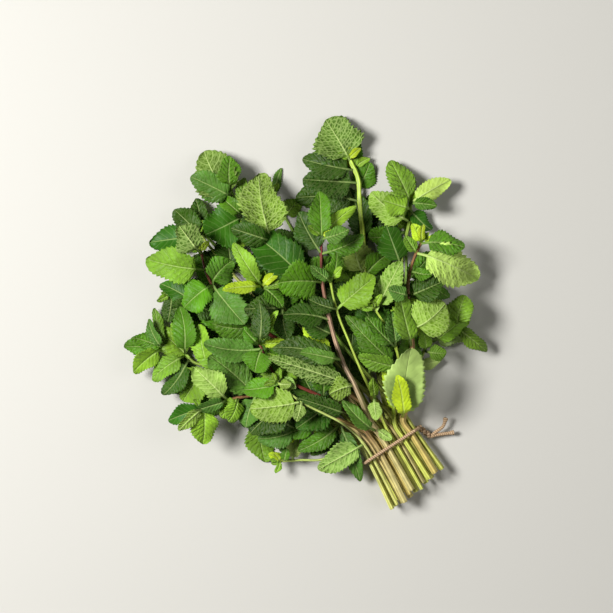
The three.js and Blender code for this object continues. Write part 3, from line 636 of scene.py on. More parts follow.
def linear(code):
    """The linear colour of an sRGB hex value."""
    parts = [int(code[i : i + 2], 16) / 255 for i in (1, 3, 5)]
    return [c / 12.92 if c <= 0.04045 else ((c + 0.055) / 1.055) ** 2.4 for c in parts] + [1.0]


LEAF_TONES = {
    "d": "#2a4c0a",  # the darkest green, for leaves low in the bunch: their own deep green, partly painted shade
    "s": "#2c5a0e",  # smooth
    "m": "#487812",
    "n": "#6c9626",
    "g": "#4c7726",  # greyer
    "b": "#4e8414",  # bright
    "o": "#a6c26c",  # old, dull and smooth
    "l": "#7ea82a",
    "y": "#a8c426",  # just opened
    "t": "#527020",  # undersides
    "u": "#70942c",
    "p": "#82a846",
    "w": "#a6c658",
}
UNDERSIDE_TONES = "tupw"
STEM_TONES = {
    "green": ["#bcc05c", "#5f7a2c", "#7fa23c"],
    "olive": ["#b4b45c", "#747f38", "#87a040"],
    "lime": ["#c6cc60", "#a2b646", "#a9c24a"],
    "pale": ["#d0d074", "#b6c270", "#b4c864"],
    "tan": ["#c8bc74", "#ab9566", "#97a850"],
    "brown": ["#bcaa60", "#9a7a50", "#8a6240"],
    "red": ["#c4b878", "#743028", "#6a3a28"],
    "rosy": ["#c8bc7c", "#bba284", "#76302a"],
}
STEM_OF_SPRIG = {
    7: "olive", 9: "tan", 11: "lime", 12: "olive", 13: "pale", 14: "pale", 15: "tan", 16: "olive",
    17: "brown", 18: "red", 19: "olive", 21: "red", 22: "lime", 23: "brown", 24: "pale", 25: "rosy",
    26: "lime",
}  # the others are green

# ---- Geometry Nodes ----


MATH = "ShaderNodeMath."  # with the operation after it
VECTOR_MATH = "ShaderNodeVectorMath."
SEPARATE = "ShaderNodeSeparateXYZ"
COMBINE = "ShaderNodeCombineXYZ"
STORED = "GeometryNodeInputNamedAttribute"
STORE = "GeometryNodeStoreNamedAttribute"


def fill(node, given):
    """Sets a node's inputs, by name or place, each to a value or to another node's output."""
    for socket, value in given.items():
        if isinstance(value, bpy.types.NodeSocket):
            node.id_data.links.new(value, node.inputs[socket])
        else:
            node.inputs[socket].default_value = value


def add_node(tree, kind, *values, output=0, **settings):
    """Adds a node with its settings and its inputs, and gives one of its outputs."""
    kind, _, operation = kind.partition(".")
    node = tree.nodes.new(kind)
    if operation:
        node.operation = operation
    for name, setting in settings.items():
        setattr(node, name, setting)
    fill(node, values[0] if values and isinstance(values[0], dict) else dict(enumerate(values)))
    return None if output is None else node.outputs[output]


def new_tree(name, **inputs):
    """A tree from a geometry to a geometry, with other named inputs, and its group input."""
    tree = bpy.data.node_groups.new(name, "GeometryNodeTree")
    for socket_name, kind in {"Geometry": "Geometry", **inputs}.items():
        tree.interface.new_socket(socket_name, in_out="INPUT", socket_type="NodeSocket" + kind)
    tree.interface.new_socket("Geometry", in_out="OUTPUT", socket_type="NodeSocketGeometry")
    return tree, tree.nodes.new("NodeGroupInput").outputs


def linked(name, data):
    """A new object of the scene, at the origin."""
    thing = bpy.data.objects.new(name, data)
    bpy.context.scene.collection.objects.link(thing)
    return thing


def grown(name, carrier, tree, inputs):
    """The plain mesh that a tree makes of a carrier mesh, as a new object."""
    seed = linked("carrier", carrier)
    modifier = seed.modifiers.new("grow", "NODES")
    modifier.node_group = tree
    for item in tree.interface.items_tree:
        if item.in_out == "INPUT" and item.name in inputs:
            modifier[item.identifier] = inputs[item.name]
    graph = bpy.context.evaluated_depsgraph_get()
    mesh = bpy.data.meshes.new_from_object(seed.evaluated_get(graph))
    bpy.data.objects.remove(seed)
    mesh.name = name
    return linked(name, mesh)


ATTRIBUTE_OF_PARTS = {1: ("FLOAT", "value"), 3: ("FLOAT_VECTOR", "vector"), 4: ("FLOAT_COLOR", "color")}


def give(mesh, name, values):
    """Stores one value for each vertex of a mesh: a number, a vector or a colour."""
    parts = len(values[0]) if isinstance(values[0], (list, tuple)) else 1
    kind, field = ATTRIBUTE_OF_PARTS[parts]
    flat = values if parts == 1 else [part for value in values for part in value]
    mesh.attributes.new(name, kind, "POINT").data.foreach_set(field, flat)


# ---- One blade, as flat parameters: how far along (x), how far across (y) and which face (z) ----

TEETH = 11  # on each side of a leaf
TOOTH_STEPS = [0.0, 0.5, 0.88]
TOOTH_DEPTH = 0.075  # of the half width
BLADE_ACROSS = [-1, -0.86, -0.7, -0.53, -0.36, -0.2, -0.07, 0, 0.07, 0.2, 0.36, 0.53, 0.7, 0.86, 1]
PETIOLE_STEPS = [0, 0.3, 0.6, 0.85]
SIDE_VEINS = 7  # pairs of them
VEIN_SWEEP = 0.26  # how far towards the tip a side vein has run at the edge
STATION_BLUR = 0.09  # rounds the bends between the places where a leaf's height is set
THIN = 0.22  # mm from the middle of a blade to its face
MIDRIB = 0.55  # mm that the midrib stands out below, near the stem
LOWEST = THIN + MIDRIB + 0.02  # mm from the floor to the middle of a blade
RIPPLES = 9.0  # radians along the edge
STALK_HALF = 0.85  # mm, half the width of a leaf's stalk
STALK_ROUND = 0.25  # mm that the stalk is thicker in its middle
STALK_FADE = 8  # the stalk has faded out one part in this many along the blade
GROOVE = (0.09, 0.8)  # over the midrib: how wide, per half width, and how deep
BULGE = 0.8  # between the side veins
RIB_HALF = 0.12  # how wide the midrib is below, per half width
RIB_TAPER = 0.75  # how much of its height is gone at the tip
BLUR_SAMPLES = 9


def station_weights(u):
    """The shares of the five heights at a place along the leaf, smoothed."""
    weights = [0.0] * len(LEAF_STATIONS)
    for k in range(BLUR_SAMPLES):
        off = STATION_BLUR * (2 * k / (BLUR_SAMPLES - 1) - 1)
        i, t = span_at(u + off * min(u / 0.2, (1 - u) / 0.1, 1))
        weights[i] += (1 - t) / BLUR_SAMPLES
        weights[i + 1] += t / BLUR_SAMPLES
    return weights


def blade_rows():
    """Places along the leaf, each with the toothed edge's share of the smooth one."""
    rows = [(PETIOLE_SHARE * t, 1.0) for t in PETIOLE_STEPS]
    for tooth in range(TEETH):
        for phase in TOOTH_STEPS:
            q = (tooth + phase) / TEETH
            rise = phase / TOOTH_STEPS[-1]
            rows.append((PETIOLE_SHARE + (1 - PETIOLE_SHARE) * q, 1 + TOOTH_DEPTH * (2 * rise - 1)))
    return rows


def make_blade():
    rows = blade_rows()
    work = bmesh.new()
    faces = []
    for side in (1, -1):
        grid = [[work.verts.new((u, v, side)) for v in BLADE_ACROSS] for u, _ in rows]
        tip = work.verts.new((1, 0, side))
        faces.append((grid, tip))
        for low, high in zip(grid, grid[1:]):
            for k in range(len(BLADE_ACROSS) - 1):
                work.faces.new((low[k], high[k], high[k + 1], low[k + 1]))
        for k in range(len(BLADE_ACROSS) - 1):
            work.faces.new((grid[-1][k], tip, grid[-1][k + 1]))
    rims = []
    for grid, tip in faces:
        near, far = [row[0] for row in grid], [row[-1] for row in reversed(grid)]
        rims.append(near + [tip] + far + grid[0][-2:0:-1])
    for k in range(len(rims[0])):
        after = (k + 1) % len(rims[0])
        work.faces.new((rims[0][k], rims[0][after], rims[1][after], rims[1][k]))
    bmesh.ops.recalc_face_normals(work, faces=work.faces)
    mesh = bpy.data.meshes.new("blade")
    work.to_mesh(mesh)
    work.free()
    edge_share = {round(u, 6): share for u, share in rows}
    spans, stalks, first, second, edges = [], [], [], [], []
    for vertex in mesh.vertices:
        u, v, side = vertex.co
        q = max(u - PETIOLE_SHARE, 0) / (1 - PETIOLE_SHARE)
        spans.append(v * leaf_half_width(u) * (1 + (edge_share.get(round(u, 6), 1) - 1) * abs(v) ** 3))
        stalk = max(1 - q * STALK_FADE, 0)
        stalks.append(v * (STALK_HALF * stalk))
        weights = station_weights(u)
        vein = SIDE_VEINS * (q - VEIN_SWEEP * abs(v)) % 1
        bulge = math.sin(math.pi * vein) * math.sin(math.pi * min(abs(v), 1)) ** 0.5
        groove = math.exp(-((v / GROOVE[0]) ** 2)) * GROOVE[1]
        relief = (bulge * BULGE - groove) * min(q * 6, 1) * min((1 - q) * 5, 1)
        first.append(weights[:3])
        second.append([weights[3], weights[4], relief])
        rib = MIDRIB * math.exp(-((v / RIB_HALF) ** 2)) * (1 - RIB_TAPER * q)
        half = THIN + (rib if side < 0 else STALK_ROUND * stalk * (1 - v * v))
        rim = v * v * min(q * 4, 1)
        edges.append([rim * math.sin(RIPPLES * u), rim * math.cos(RIPPLES * u), side * half])
    give(mesh, "span", spans)
    give(mesh, "stalk", stalks)
    give(mesh, "shares_near", first)
    give(mesh, "shares_far", second)
    give(mesh, "edge", edges)
    return linked("blade", mesh)


LEAF_VECTORS = [
    "leaf_size", "root", "reach", "across", "shares_near", "shares_far", "heights_near", "heights_far",
    "edge", "ripple", "wobble", "lie",
]


def leaf_tree():
    """Puts the blade on each point, and bends it as the point's attributes say."""
    tree, given = new_tree("leaves", Blade="Object", Material="Material", Unit="Float")
    add = partial(add_node, tree)
    source = add("GeometryNodeObjectInfo", {"Object": given["Blade"]}, output="Geometry")
    placed = add("GeometryNodeInstanceOnPoints", {"Points": given["Geometry"], "Instance": source})
    blades = add("GeometryNodeRealizeInstances", placed)
    share = add("GeometryNodeInputPosition")
    vectors = {name: add(STORED, name, data_type="FLOAT_VECTOR") for name in LEAF_VECTORS}
    span = add(STORED, "span", data_type="FLOAT")
    stalk = add(STORED, "stalk", data_type="FLOAT")
    seed = add(STORED, "leaf_seed", data_type="FLOAT")
    place = add(SEPARATE, share).node.outputs
    width, length, bow = add(SEPARATE, vectors["leaf_size"]).node.outputs

    aside = add(MATH + "MULTIPLY_ADD", width, span, stalk)
    rest = add(MATH + "SUBTRACT", 1.0, place[0])
    sway = add(MATH + "MULTIPLY", place[0], rest)
    swayed = add(MATH + "MULTIPLY", sway, bow)
    bowed = add(MATH + "MULTIPLY_ADD", swayed, 4.0, aside)
    wobbled = add(VECTOR_MATH + "DOT_PRODUCT", vectors["edge"], vectors["wobble"], output="Value")
    bowed = add(MATH + "ADD", bowed, wobbled)
    along = add(VECTOR_MATH + "SCALE", {0: vectors["reach"], "Scale": place[0]})
    across = add(VECTOR_MATH + "SCALE", {0: vectors["across"], "Scale": bowed})
    forth = add(VECTOR_MATH + "ADD", vectors["root"], along)
    plan = add(VECTOR_MATH + "ADD", forth, across)

    size_aside = add(MATH + "ABSOLUTE", aside)
    square_aside = add(MATH + "MULTIPLY", aside, aside)
    tilt = add(COMBINE, aside, size_aside, square_aside)
    in_plan = add(VECTOR_MATH + "MULTIPLY", vectors["edge"], (1, 1, 0))
    height = 0.0
    for a, b in (
        (vectors["shares_near"], vectors["heights_near"]),
        (vectors["shares_far"], vectors["heights_far"]),
        (in_plan, vectors["ripple"]),
        (tilt, vectors["lie"]),
    ):
        part = add(VECTOR_MATH + "DOT_PRODUCT", a, b, output="Value")
        height = add(MATH + "ADD", part, height)
    height = add(MATH + "MAXIMUM", height, LOWEST)
    to_face = add(SEPARATE, vectors["edge"]).node.outputs[2]
    turned = add(SEPARATE, vectors["ripple"]).node.outputs[2]
    thickness = add(MATH + "MULTIPLY", to_face, turned)
    height = add(MATH + "ADD", height, thickness)
    lift = add(COMBINE, 0.0, 0.0, height)
    lifted = add(VECTOR_MATH + "ADD", plan, lift)
    position = add(VECTOR_MATH + "SCALE", {0: lifted, "Scale": given["Unit"]})

    run = add(MATH + "MULTIPLY", place[0], length)
    in_mm = add(COMBINE, run, aside, seed)
    for name, value in (("leaf_share", share), ("leaf_mm", in_mm)):
        marks = {"Geometry": blades, "Name": name, "Value": value}
        blades = add(STORE, marks, data_type="FLOAT_VECTOR", domain="POINT")
    bent = add("GeometryNodeSetPosition", {"Geometry": blades, "Position": position})
    finished = add("GeometryNodeSetMaterial", {"Geometry": bent, "Material": given["Material"]})
    add("NodeGroupOutput", finished, output=None)
    return tree


def tube_tree():
    """Draws a profile along a line, as thick as the line's points say."""
    tree, given = new_tree("tubes", Profile="Object", Material="Material")
    add = partial(add_node, tree)
    line = add("GeometryNodeMeshToCurve", given["Geometry"])
    upright = add("GeometryNodeSetCurveNormal", line, mode="Z_UP")
    tilt = add(STORED, "tilt", data_type="FLOAT")
    tilted = add("GeometryNodeSetCurveTilt", {"Curve": upright, "Tilt": tilt})
    thickness = add(STORED, "thickness", data_type="FLOAT")
    profile = add("GeometryNodeObjectInfo", {"Object": given["Profile"]}, output="Geometry")
    outline = add("GeometryNodeMeshToCurve", profile)
    drawn = {"Curve": tilted, "Profile Curve": outline, "Scale": thickness, "Fill Caps": True}
    tube = add("GeometryNodeCurveToMesh", drawn)
    along = add(STORED, "along_mm", data_type="FLOAT_VECTOR")
    side = add(STORED, "side", data_type="FLOAT_VECTOR")
    in_mm = add(VECTOR_MATH + "ADD", along, side)
    marks = {"Geometry": tube, "Name": "tube_mm", "Value": in_mm}
    marked = add(STORE, marks, data_type="FLOAT_VECTOR", domain="POINT")
    plain = add("GeometryNodeRealizeInstances", marked)
    finished = add("GeometryNodeSetMaterial", {"Geometry": plain, "Material": given["Material"]})
    add("NodeGroupOutput", finished, output=None)
    return tree


# ---- Materials ----


def new_material(name):
    """A material, what adds nodes to its tree, and that tree's Principled shader."""
    material = bpy.data.materials.new(name)
    material.use_nodes = True
    nodes = material.node_tree.nodes
    shader = next(node for node in nodes if node.type == "BSDF_PRINCIPLED")
    return material, partial(add_node, material.node_tree), shader


MIX = "ShaderNodeMix"
MAP = "ShaderNodeMapRange"
NOISE = "ShaderNodeTexNoise"
ATTRIBUTE = "ShaderNodeAttribute"
BUMP = "ShaderNodeBump"
COLORS = {"output": 2, "data_type": "RGBA"}  # for a mix of colours: its inputs are 6 and 7
LEAF_RELIEF = 0.5 * MM
STEM_RELIEF = 0.25 * MM
PAPER_RELIEF = 0.3 * MM
BOARD_RELIEF = 0.1 * MM
MINT_IOR = 1.42

NET_MM = 1.9  # across a mesh of the finest veins
NET_STRETCH = 0.85  # the meshes are longer along the side veins
VEIN_LEAN = 0.5  # how far forward the side veins run, per mm out
CRUMPLE_MM = 7.0  # between dents of the blade
MOTTLE_MM = 12.0  # between lighter and darker patches of a leaf
WANDER_MM = 4.0  # between bends of a side vein
RIB_MM = (0.9, 0.28)  # half the midrib's width, near the stem and at the tip
VEIN_PALE = "#bdd280"
UPPER_VEINS = 0.12  # how pale the veins are, above and below
UNDER_VEINS = 0.5
UPPER_RIB = 0.33
UNDER_RIB = 0.75
WANDER = 0.35  # of the way from one side vein to the next
SIDE_VEIN = (0.4, 0.5)  # from its edge to its middle, in shares of the way between two
VEIN_GROOVE = (0.15, 0.5)  # and of the groove that it lies in
RIB_EDGE = (0.3, 1.0)  # where the midrib fades out, in its half widths
NET_VEIN = 0.24  # how wide the finest veins are
NET_SHOWN = 0.7
MOTTLE = (0.72, 1.22)  # how much darker and lighter the patches are
LIT_ABOVE = (0.62, 1.14)  # and the blade in its grooves and on its swellings, above and below, as painted shade where the blade is sunk and painted highlight where it stands out
LIT_BELOW = (1.08, 0.8)
CRUMPLED = (0.8, 2.4)  # how deep the dents are in a smooth and a puckered leaf
GROOVE_SHOWN = (0.1, 0.5)  # how deep the side veins lie, in a smooth and a puckered leaf
RIB_SHOWN = 0.5
LEAF_ROUGHNESS = (0.66, 0.43)  # below and above
LEAF_SPECULAR = 0.18
STEM_SPECULAR = 0.35


LEAF_ATTRIBUTES = [
    ("leaf_share", "Vector"), ("leaf_mm", "Vector"), ("pucker", "Fac"), ("upper_color", "Color"),
    ("under_color", "Color"),
]


def mint_leaf():
    """Fresh mint leaf: a thin green blade, softly glossy above and dull and paler below.

    The veins are sunk in above and stand out below, with the blade puckered between them.
    """
    material, add, shader = new_material("fresh_mint_leaf")
    soft = {"interpolation_type": "SMOOTHSTEP"}
    share, in_mm, puckered, upper, under = [
        add(ATTRIBUTE, output=kind, attribute_name=name) for name, kind in LEAF_ATTRIBUTES
    ]
    forth, aside, side = add(SEPARATE, share).node.outputs
    run_mm, aside_mm, seed = add(SEPARATE, in_mm).node.outputs
    out_mm = add(MATH + "ABSOLUTE", aside_mm)
    above = add(MATH + "GREATER_THAN", side, 0.0)
    on_blade = add(MAP, forth, PETIOLE_SHARE - 0.02, PETIOLE_SHARE + 0.05, 0.0, 1.0, **soft)

    # The side veins leave the midrib in pairs and bend towards the tip.
    out = add(MATH + "ABSOLUTE", aside)
    swept = add(MATH + "MULTIPLY", out, -VEIN_SWEEP * SIDE_VEINS)
    order = add(MAP, forth, PETIOLE_SHARE, 1.0, 0.0, float(SIDE_VEINS))
    phase = add(MATH + "ADD", order, swept)
    wander = add(NOISE, {"Vector": in_mm, "Scale": 1 / WANDER_MM, "Detail": 1.0})
    phase = add(MATH + "MULTIPLY_ADD", wander, WANDER, phase)
    turn = add(MATH + "FRACT", phase)
    from_middle = add(MATH + "SUBTRACT", turn, 0.5)
    near_vein = add(MATH + "ABSOLUTE", from_middle)
    side_vein = add(MAP, near_vein, *SIDE_VEIN, 0.0, 1.0, **soft)
    groove = add(MAP, near_vein, *VEIN_GROOVE, 0.0, 1.0, **soft)

    rib_half = add(MAP, forth, 0.1, 1.0, *RIB_MM)
    from_rib = add(MATH + "DIVIDE", out_mm, rib_half)
    midrib = add(MAP, from_rib, *RIB_EDGE, 1.0, 0.0, **soft)

    along_veins = add(MATH + "MULTIPLY", aside_mm, NET_STRETCH)
    between_veins = add(MATH + "MULTIPLY_ADD", out_mm, -VEIN_LEAN, run_mm)
    net_place = add(COMBINE, between_veins, along_veins, seed)
    cells = {"Vector": net_place, "Scale": 1 / NET_MM, "Randomness": 0.9}
    net = add("ShaderNodeTexVoronoi", cells, feature="DISTANCE_TO_EDGE")
    net_vein = add(MAP, net, 0.0, NET_VEIN, 1.0, 0.0, **soft)
    net_share = add(MATH + "MULTIPLY", puckered, NET_SHOWN)
    net_vein = add(MATH + "MULTIPLY", net_vein, net_share)
    veins = add(MATH + "MAXIMUM", side_vein, net_vein)
    veins = add(MATH + "MULTIPLY", veins, on_blade)
    vein_share = add(MAP, above, 0.0, 1.0, UNDER_VEINS, UPPER_VEINS)
    rib_share = add(MAP, above, 0.0, 1.0, UNDER_RIB, UPPER_RIB)
    veins = add(MATH + "MULTIPLY", veins, vein_share)
    midrib_shown = add(MATH + "MULTIPLY", midrib, rib_share)
    veins = add(MATH + "MAXIMUM", veins, midrib_shown)

    # Between the veins the blade is lighter above, where it swells up, and darker below, where the same
    # places are sunk: painted highlight on what stands out and painted shade in what is sunk.
    mottle = add(NOISE, {"Vector": in_mm, "Scale": 1 / MOTTLE_MM, "Detail": 2.0})
    shade = add(MAP, mottle, 0.3, 0.7, *MOTTLE, **soft)
    swell = add(MAP, net, 0.0, 0.45, 0.0, 1.0, **soft)
    swell = add(MATH + "SUBTRACT", swell, groove)
    lit_above = add(MAP, swell, -1.0, 1.0, *LIT_ABOVE)
    lit_below = add(MAP, swell, -1.0, 1.0, *LIT_BELOW)
    lit = add(MIX, {0: above, 2: lit_below, 3: lit_above})
    net_on = add(MATH + "MULTIPLY", puckered, on_blade)
    lit = add(MIX, {0: net_on, 2: 1.0, 3: lit})
    shade = add(MATH + "MULTIPLY", shade, lit)
    color = add(MIX, {0: above, 6: under, 7: upper}, **COLORS)
    color = add(VECTOR_MATH + "SCALE", {0: color, "Scale": shade})
    color = add(MIX, {0: veins, 6: color, 7: linear(VEIN_PALE)}, **COLORS)

    swollen = add(MAP, net, 0.0, 0.6, 0.0, 1.0, **soft)
    swollen = add(MATH + "MULTIPLY", swollen, net_on)
    groove_share = add(MAP, puckered, 0.0, 1.0, *GROOVE_SHOWN)
    groove_share = add(MATH + "MULTIPLY", groove_share, on_blade)
    grooves = add(MATH + "MULTIPLY", groove, groove_share)
    sunk = add(MATH + "MULTIPLY_ADD", midrib, RIB_SHOWN, grooves)
    height = add(MATH + "SUBTRACT", swollen, sunk)
    crumple = add(NOISE, {"Vector": in_mm, "Scale": 1 / CRUMPLE_MM, "Detail": 2.0})
    crumpled = add(MAP, puckered, 0.0, 1.0, *CRUMPLED)
    height = add(MATH + "MULTIPLY_ADD", crumple, crumpled, height)
    facing = add(MATH + "MULTIPLY_ADD", above, 2.0, -1.0)
    height = add(MATH + "MULTIPLY", height, facing)
    bump = add(BUMP, {"Height": height, "Distance": LEAF_RELIEF, "Strength": 1.0})
    roughness = add(MAP, above, 0.0, 1.0, *LEAF_ROUGHNESS)
    fill(shader, {"Base Color": color, "Normal": bump, "Roughness": roughness})
    fill(shader, {"IOR": MINT_IOR, "Specular IOR Level": LEAF_SPECULAR})
    return material


STREAK_MM = 0.5  # between the fine lines along a stem
STREAK_LENGTH_MM = 16.0
PATCH_MM = 8.0
SIDE_SHADE_CORNER_HIGHLIGHT = (0.72, 1.22)  # painted shade on the sides and painted highlight at the corners
STREAK_SHADES = (0.74, 1.2)
PATCH_SHADES = (0.8, 1.2)


def mint_stem():
    """Mint stem: square and juicy, with fine lines along it, a painted highlight along each corner and
    painted shade on each flat side. Old stems are tan, and sunlit ones red.
    """
    material, add, shader = new_material("fresh_mint_stem")
    line = add(ATTRIBUTE, output="Vector", attribute_name="tube_mm")
    scale = (1 / STREAK_LENGTH_MM, 1 / STREAK_MM, 1 / STREAK_MM)
    stretched = add("ShaderNodeMapping", {"Vector": line, "Scale": scale})
    streaks = add(NOISE, {"Vector": stretched, "Scale": 1.0, "Detail": 3.0})
    patches = add(NOISE, {"Vector": line, "Scale": 1 / PATCH_MM, "Detail": 2.0})
    color = add(ATTRIBUTE, output="Color", attribute_name="tube_color")
    _, x, y = add(SEPARATE, line).node.outputs
    # Painted highlight along the stem's corners and painted shade on its flat sides, which the colour
    # is multiplied by.
    corner = add(MATH + "MULTIPLY", x, y)
    corner = add(MATH + "ABSOLUTE", corner)
    edge = add(MAP, corner, 0.0, 0.7, 0.3, 0.7)
    for noise, shades in ((edge, SIDE_SHADE_CORNER_HIGHLIGHT), (streaks, STREAK_SHADES), (patches, PATCH_SHADES)):
        share = add(MAP, noise, 0.3, 0.7, *shades)
        color = add(VECTOR_MATH + "SCALE", {0: color, "Scale": share})
    bump = add(BUMP, {"Height": streaks, "Distance": STEM_RELIEF, "Strength": 0.5})
    fill(shader, {"Base Color": color, "Normal": bump, "Roughness": 0.45})
    fill(shader, {"IOR": MINT_IOR, "Specular IOR Level": STEM_SPECULAR})
    return material


TWIST_MM = 1.3  # from ridge to ridge of the twisted paper
# Painted shade in the twisted paper's folds and painted highlight on its ridges.
PAPER_SHADED_IN_FOLDS = "#8a6c4c"
PAPER_LIT_ON_RIDGES = "#d4b692"
BOARD = "#c2c0b9"


def paper_tie():
    """Paper twisted round a wire: dull brown, with ridges that wind round it."""
    material, add, shader = new_material("twisted_paper_tie")
    line = add(ATTRIBUTE, output="Vector", attribute_name="tube_mm")
    run, x, y = add(SEPARATE, line).node.outputs
    turn = add(MATH + "ARCTAN2", x, y)
    wound = add(MATH + "MULTIPLY_ADD", run, 2 * math.pi / TWIST_MM, turn)
    ridge = add(MATH + "SINE", wound)
    fibres = add(NOISE, {"Vector": line, "Scale": 2.0, "Detail": 4.0})
    height = add(MATH + "MULTIPLY_ADD", ridge, 0.5, fibres)
    share = add(MAP, height, -0.1, 1.1, 0.0, 1.0)
    # The colour follows the ridges and the fibres: painted shade in the folds and painted highlight on
    # the ridges, with the fibres' own uneven tone.
    color = add(MIX, {0: share, 6: linear(PAPER_SHADED_IN_FOLDS), 7: linear(PAPER_LIT_ON_RIDGES)}, **COLORS)
    bump = add(BUMP, {"Height": height, "Distance": PAPER_RELIEF, "Strength": 0.7})
    fill(shader, {"Base Color": color, "Normal": bump, "Roughness": 0.85, "Specular IOR Level": 0.25})
    return material


def studio_board():
    """Painted board under the bunch: pale, dull and even."""
    material, add, shader = new_material("painted_board")
    grain = add(NOISE, {"Scale": 900.0, "Detail": 2.0})
    bump = add(BUMP, {"Height": grain, "Distance": BOARD_RELIEF, "Strength": 0.2})
    fill(shader, {"Base Color": linear(BOARD), "Normal": bump, "Roughness": 0.8})
    return material


# ---- Leaves ----

looks = seeded_draws(LOOKS_SEED)
# Leaves grown by rule lie low in the bunch, so their tones are mostly dark: partly their own green,
# partly painted shade.
RULE_TONES = "ddmsmdml"
LEAF_VALUE = (0.88, 1.14)  # a leaf's own lightness and warmth, per its tone's
LEAF_WARMTH = (-0.08, 0.08)
HIDDEN_UPPER = 0.8  # how much of the middle tone is in the upper face of a leaf that is turned over
PALE_UNDER = 0.55  # how much paler a leaf is below


def leaf_colors(leaf):
    """The leaf's two faces' colours, each leaf a little different."""
    tone = leaf.tone or RULE_TONES[int(looks(0, len(RULE_TONES) - 0.001))]
    main = linear(LEAF_TONES[tone])
    value = looks(*LEAF_VALUE)
    warmth = looks(*LEAF_WARMTH)
    main = [main[0] * value * (1 + warmth), main[1] * value, main[2] * value * (1 - warmth), 1.0]
    if tone in UNDERSIDE_TONES:
        return mixed(main, linear(LEAF_TONES["m"]), HIDDEN_UPPER), main
    return main, mixed(main, linear(LEAF_TONES["p"]), PALE_UNDER)


PUCKER = (0.5, 1.0)  # how strongly a leaf is puckered
PUCKER_OF_TONE = {
    "s": (0.05, 0.2), "b": (0.2, 0.5), "y": (0.3, 0.6), "l": (0.3, 0.8), "o": (0.05, 0.15),
}
RELIEF = 0.035  # of a leaf's width: how far it is puckered between its veins
CURL = (-0.42, 0.22)  # how far the edges bend up, per width
RIPPLE = (0.04, 0.12)  # how far the edge runs up and down, per width
RIPPLE_FADE = 5
WOBBLE = (0.02, 0.09)  # how far it runs in and out, per width
EXTRA_ROLL = 0.1
EXTRA_FOLD = (-0.2, 0.36)
LIFT = (-0.03, 0.18)  # how far the tip bends up, of the leaf's length
LIFT_FROM = 0.42  # where along the leaf that bend begins
LIFT_SCALE = 0.34  # the square of what is left of the leaf there, about
BETWEEN = 0.8  # mm from the middle of a leaf to what it lies on
MOST_RAISED = 2.5


def settled(leaf, heights, beside):
    """The leaf's heights, raised where it would cut through what lies under it.

    beside says how far a point of the leaf is above its middle line. The leaf joins the pile.
    """
    points = [(cell_at(x, y), *span_at(u, 1), beside(u, v)) for x, y, u, v in leaf.blade_points()]
    touches = [(i, t, pile[cell] + BETWEEN - above) for cell, i, t, above in points if pile[cell] > 0]
    along = [u * leaf.length for u in LEAF_STATIONS]
    clear = stiffen(clear_heights(heights, touches), along, LEAF_STIFFNESS)
    raised = heights[:1] + [min(z, low + MOST_RAISED) for z, low in zip(clear[1:], heights[1:])]
    for cell, i, t, above in points:
        pile[cell] = max(pile[cell], raised[i] * (1 - t) + raised[i + 1] * t + above)
    return raised


def leaf_rows(leaves):
    """Each leaf's values, by the names that the leaf tree reads."""
    rows = {}
    for leaf in leaves:
        turned = -1 if leaf.tone and leaf.tone in UNDERSIDE_TONES else 1
        upper, under = leaf_colors(leaf)
        ripple = looks(*RIPPLE) * leaf.width
        turn = looks(0, 2 * math.pi)
        wobble = looks(*WOBBLE) * leaf.width
        place = looks(0, 2 * math.pi)
        curl = looks(*CURL) / leaf.width
        pucker = looks(*PUCKER_OF_TONE.get(leaf.tone, PUCKER))
        relief = turned * RELIEF * leaf.width * pucker
        lift = looks(*LIFT) * leaf.length
        bends = [lift * max(u - LIFT_FROM, 0) ** 2 / LIFT_SCALE for u in LEAF_STATIONS]
        h = [z + bend for z, bend in zip(leaf.heights, bends)]
        fold = leaf.fold + looks(*EXTRA_FOLD)
        roll = leaf.roll + looks(-EXTRA_ROLL, EXTRA_ROLL)

        def beside(u, v):
            out = min(abs(v) / (leaf.width * leaf_half_width(u) + 1e-6), 1)
            shown = min((u - PETIOLE_SHARE) * RIPPLE_FADE, 1)
            wave = ripple * math.cos(RIPPLES * u - turn) * out * out * shown
            return roll * v + fold * abs(v) + curl * v * v + wave

        h = settled(leaf, h, beside)
        row = {
            "root": [leaf.root[0] + SHIFT_X, leaf.root[1] + SHIFT_Y, 0],
            "reach": leaf.reach + [0],
            "across": [turned * leaf.across[0], turned * leaf.across[1], 0],
            "leaf_size": [leaf.width, leaf.length, turned * leaf.bow * leaf.length],
            "heights_near": h[:3],
            "heights_far": [h[3], h[4], relief],
            "ripple": [ripple * math.sin(turn), ripple * math.cos(turn), turned],
            "wobble": [wobble * math.cos(place), wobble * math.sin(place), 0],
            "lie": [turned * roll, fold, curl],
            "leaf_seed": looks(0, 1000),
            "pucker": pucker,
            "upper_color": upper,
            "under_color": under,
        }
        for name, value in row.items():
            rows.setdefault(name, []).append(value)
    return rows


def make_leaves(number, leaves, tree, blade, material):
    carrier = bpy.data.meshes.new("places")
    carrier.from_pydata([(0, 0, 0)] * len(leaves), [], [])
    for name, values in leaf_rows(leaves).items():
        give(carrier, name, values)
    inputs = {"Blade": blade, "Material": material, "Unit": MM}
    return grown(f"leaves_{number:02d}", carrier, tree, inputs)


BUD_TURNS = [-62, -20, 18, 55]  # degrees from the stem
BUD_LENGTHS = [8.5, 6.5, 5.5, 9]
BUD_ASTRAY = 12  # degrees
BUD_SPREAD = (0.8, 1.2)
BUD_WIDTH = 0.5  # of its length
BUD_RISE = (0.1, 0.7)
JUST_OPENED = 0.3  # of the small leaves


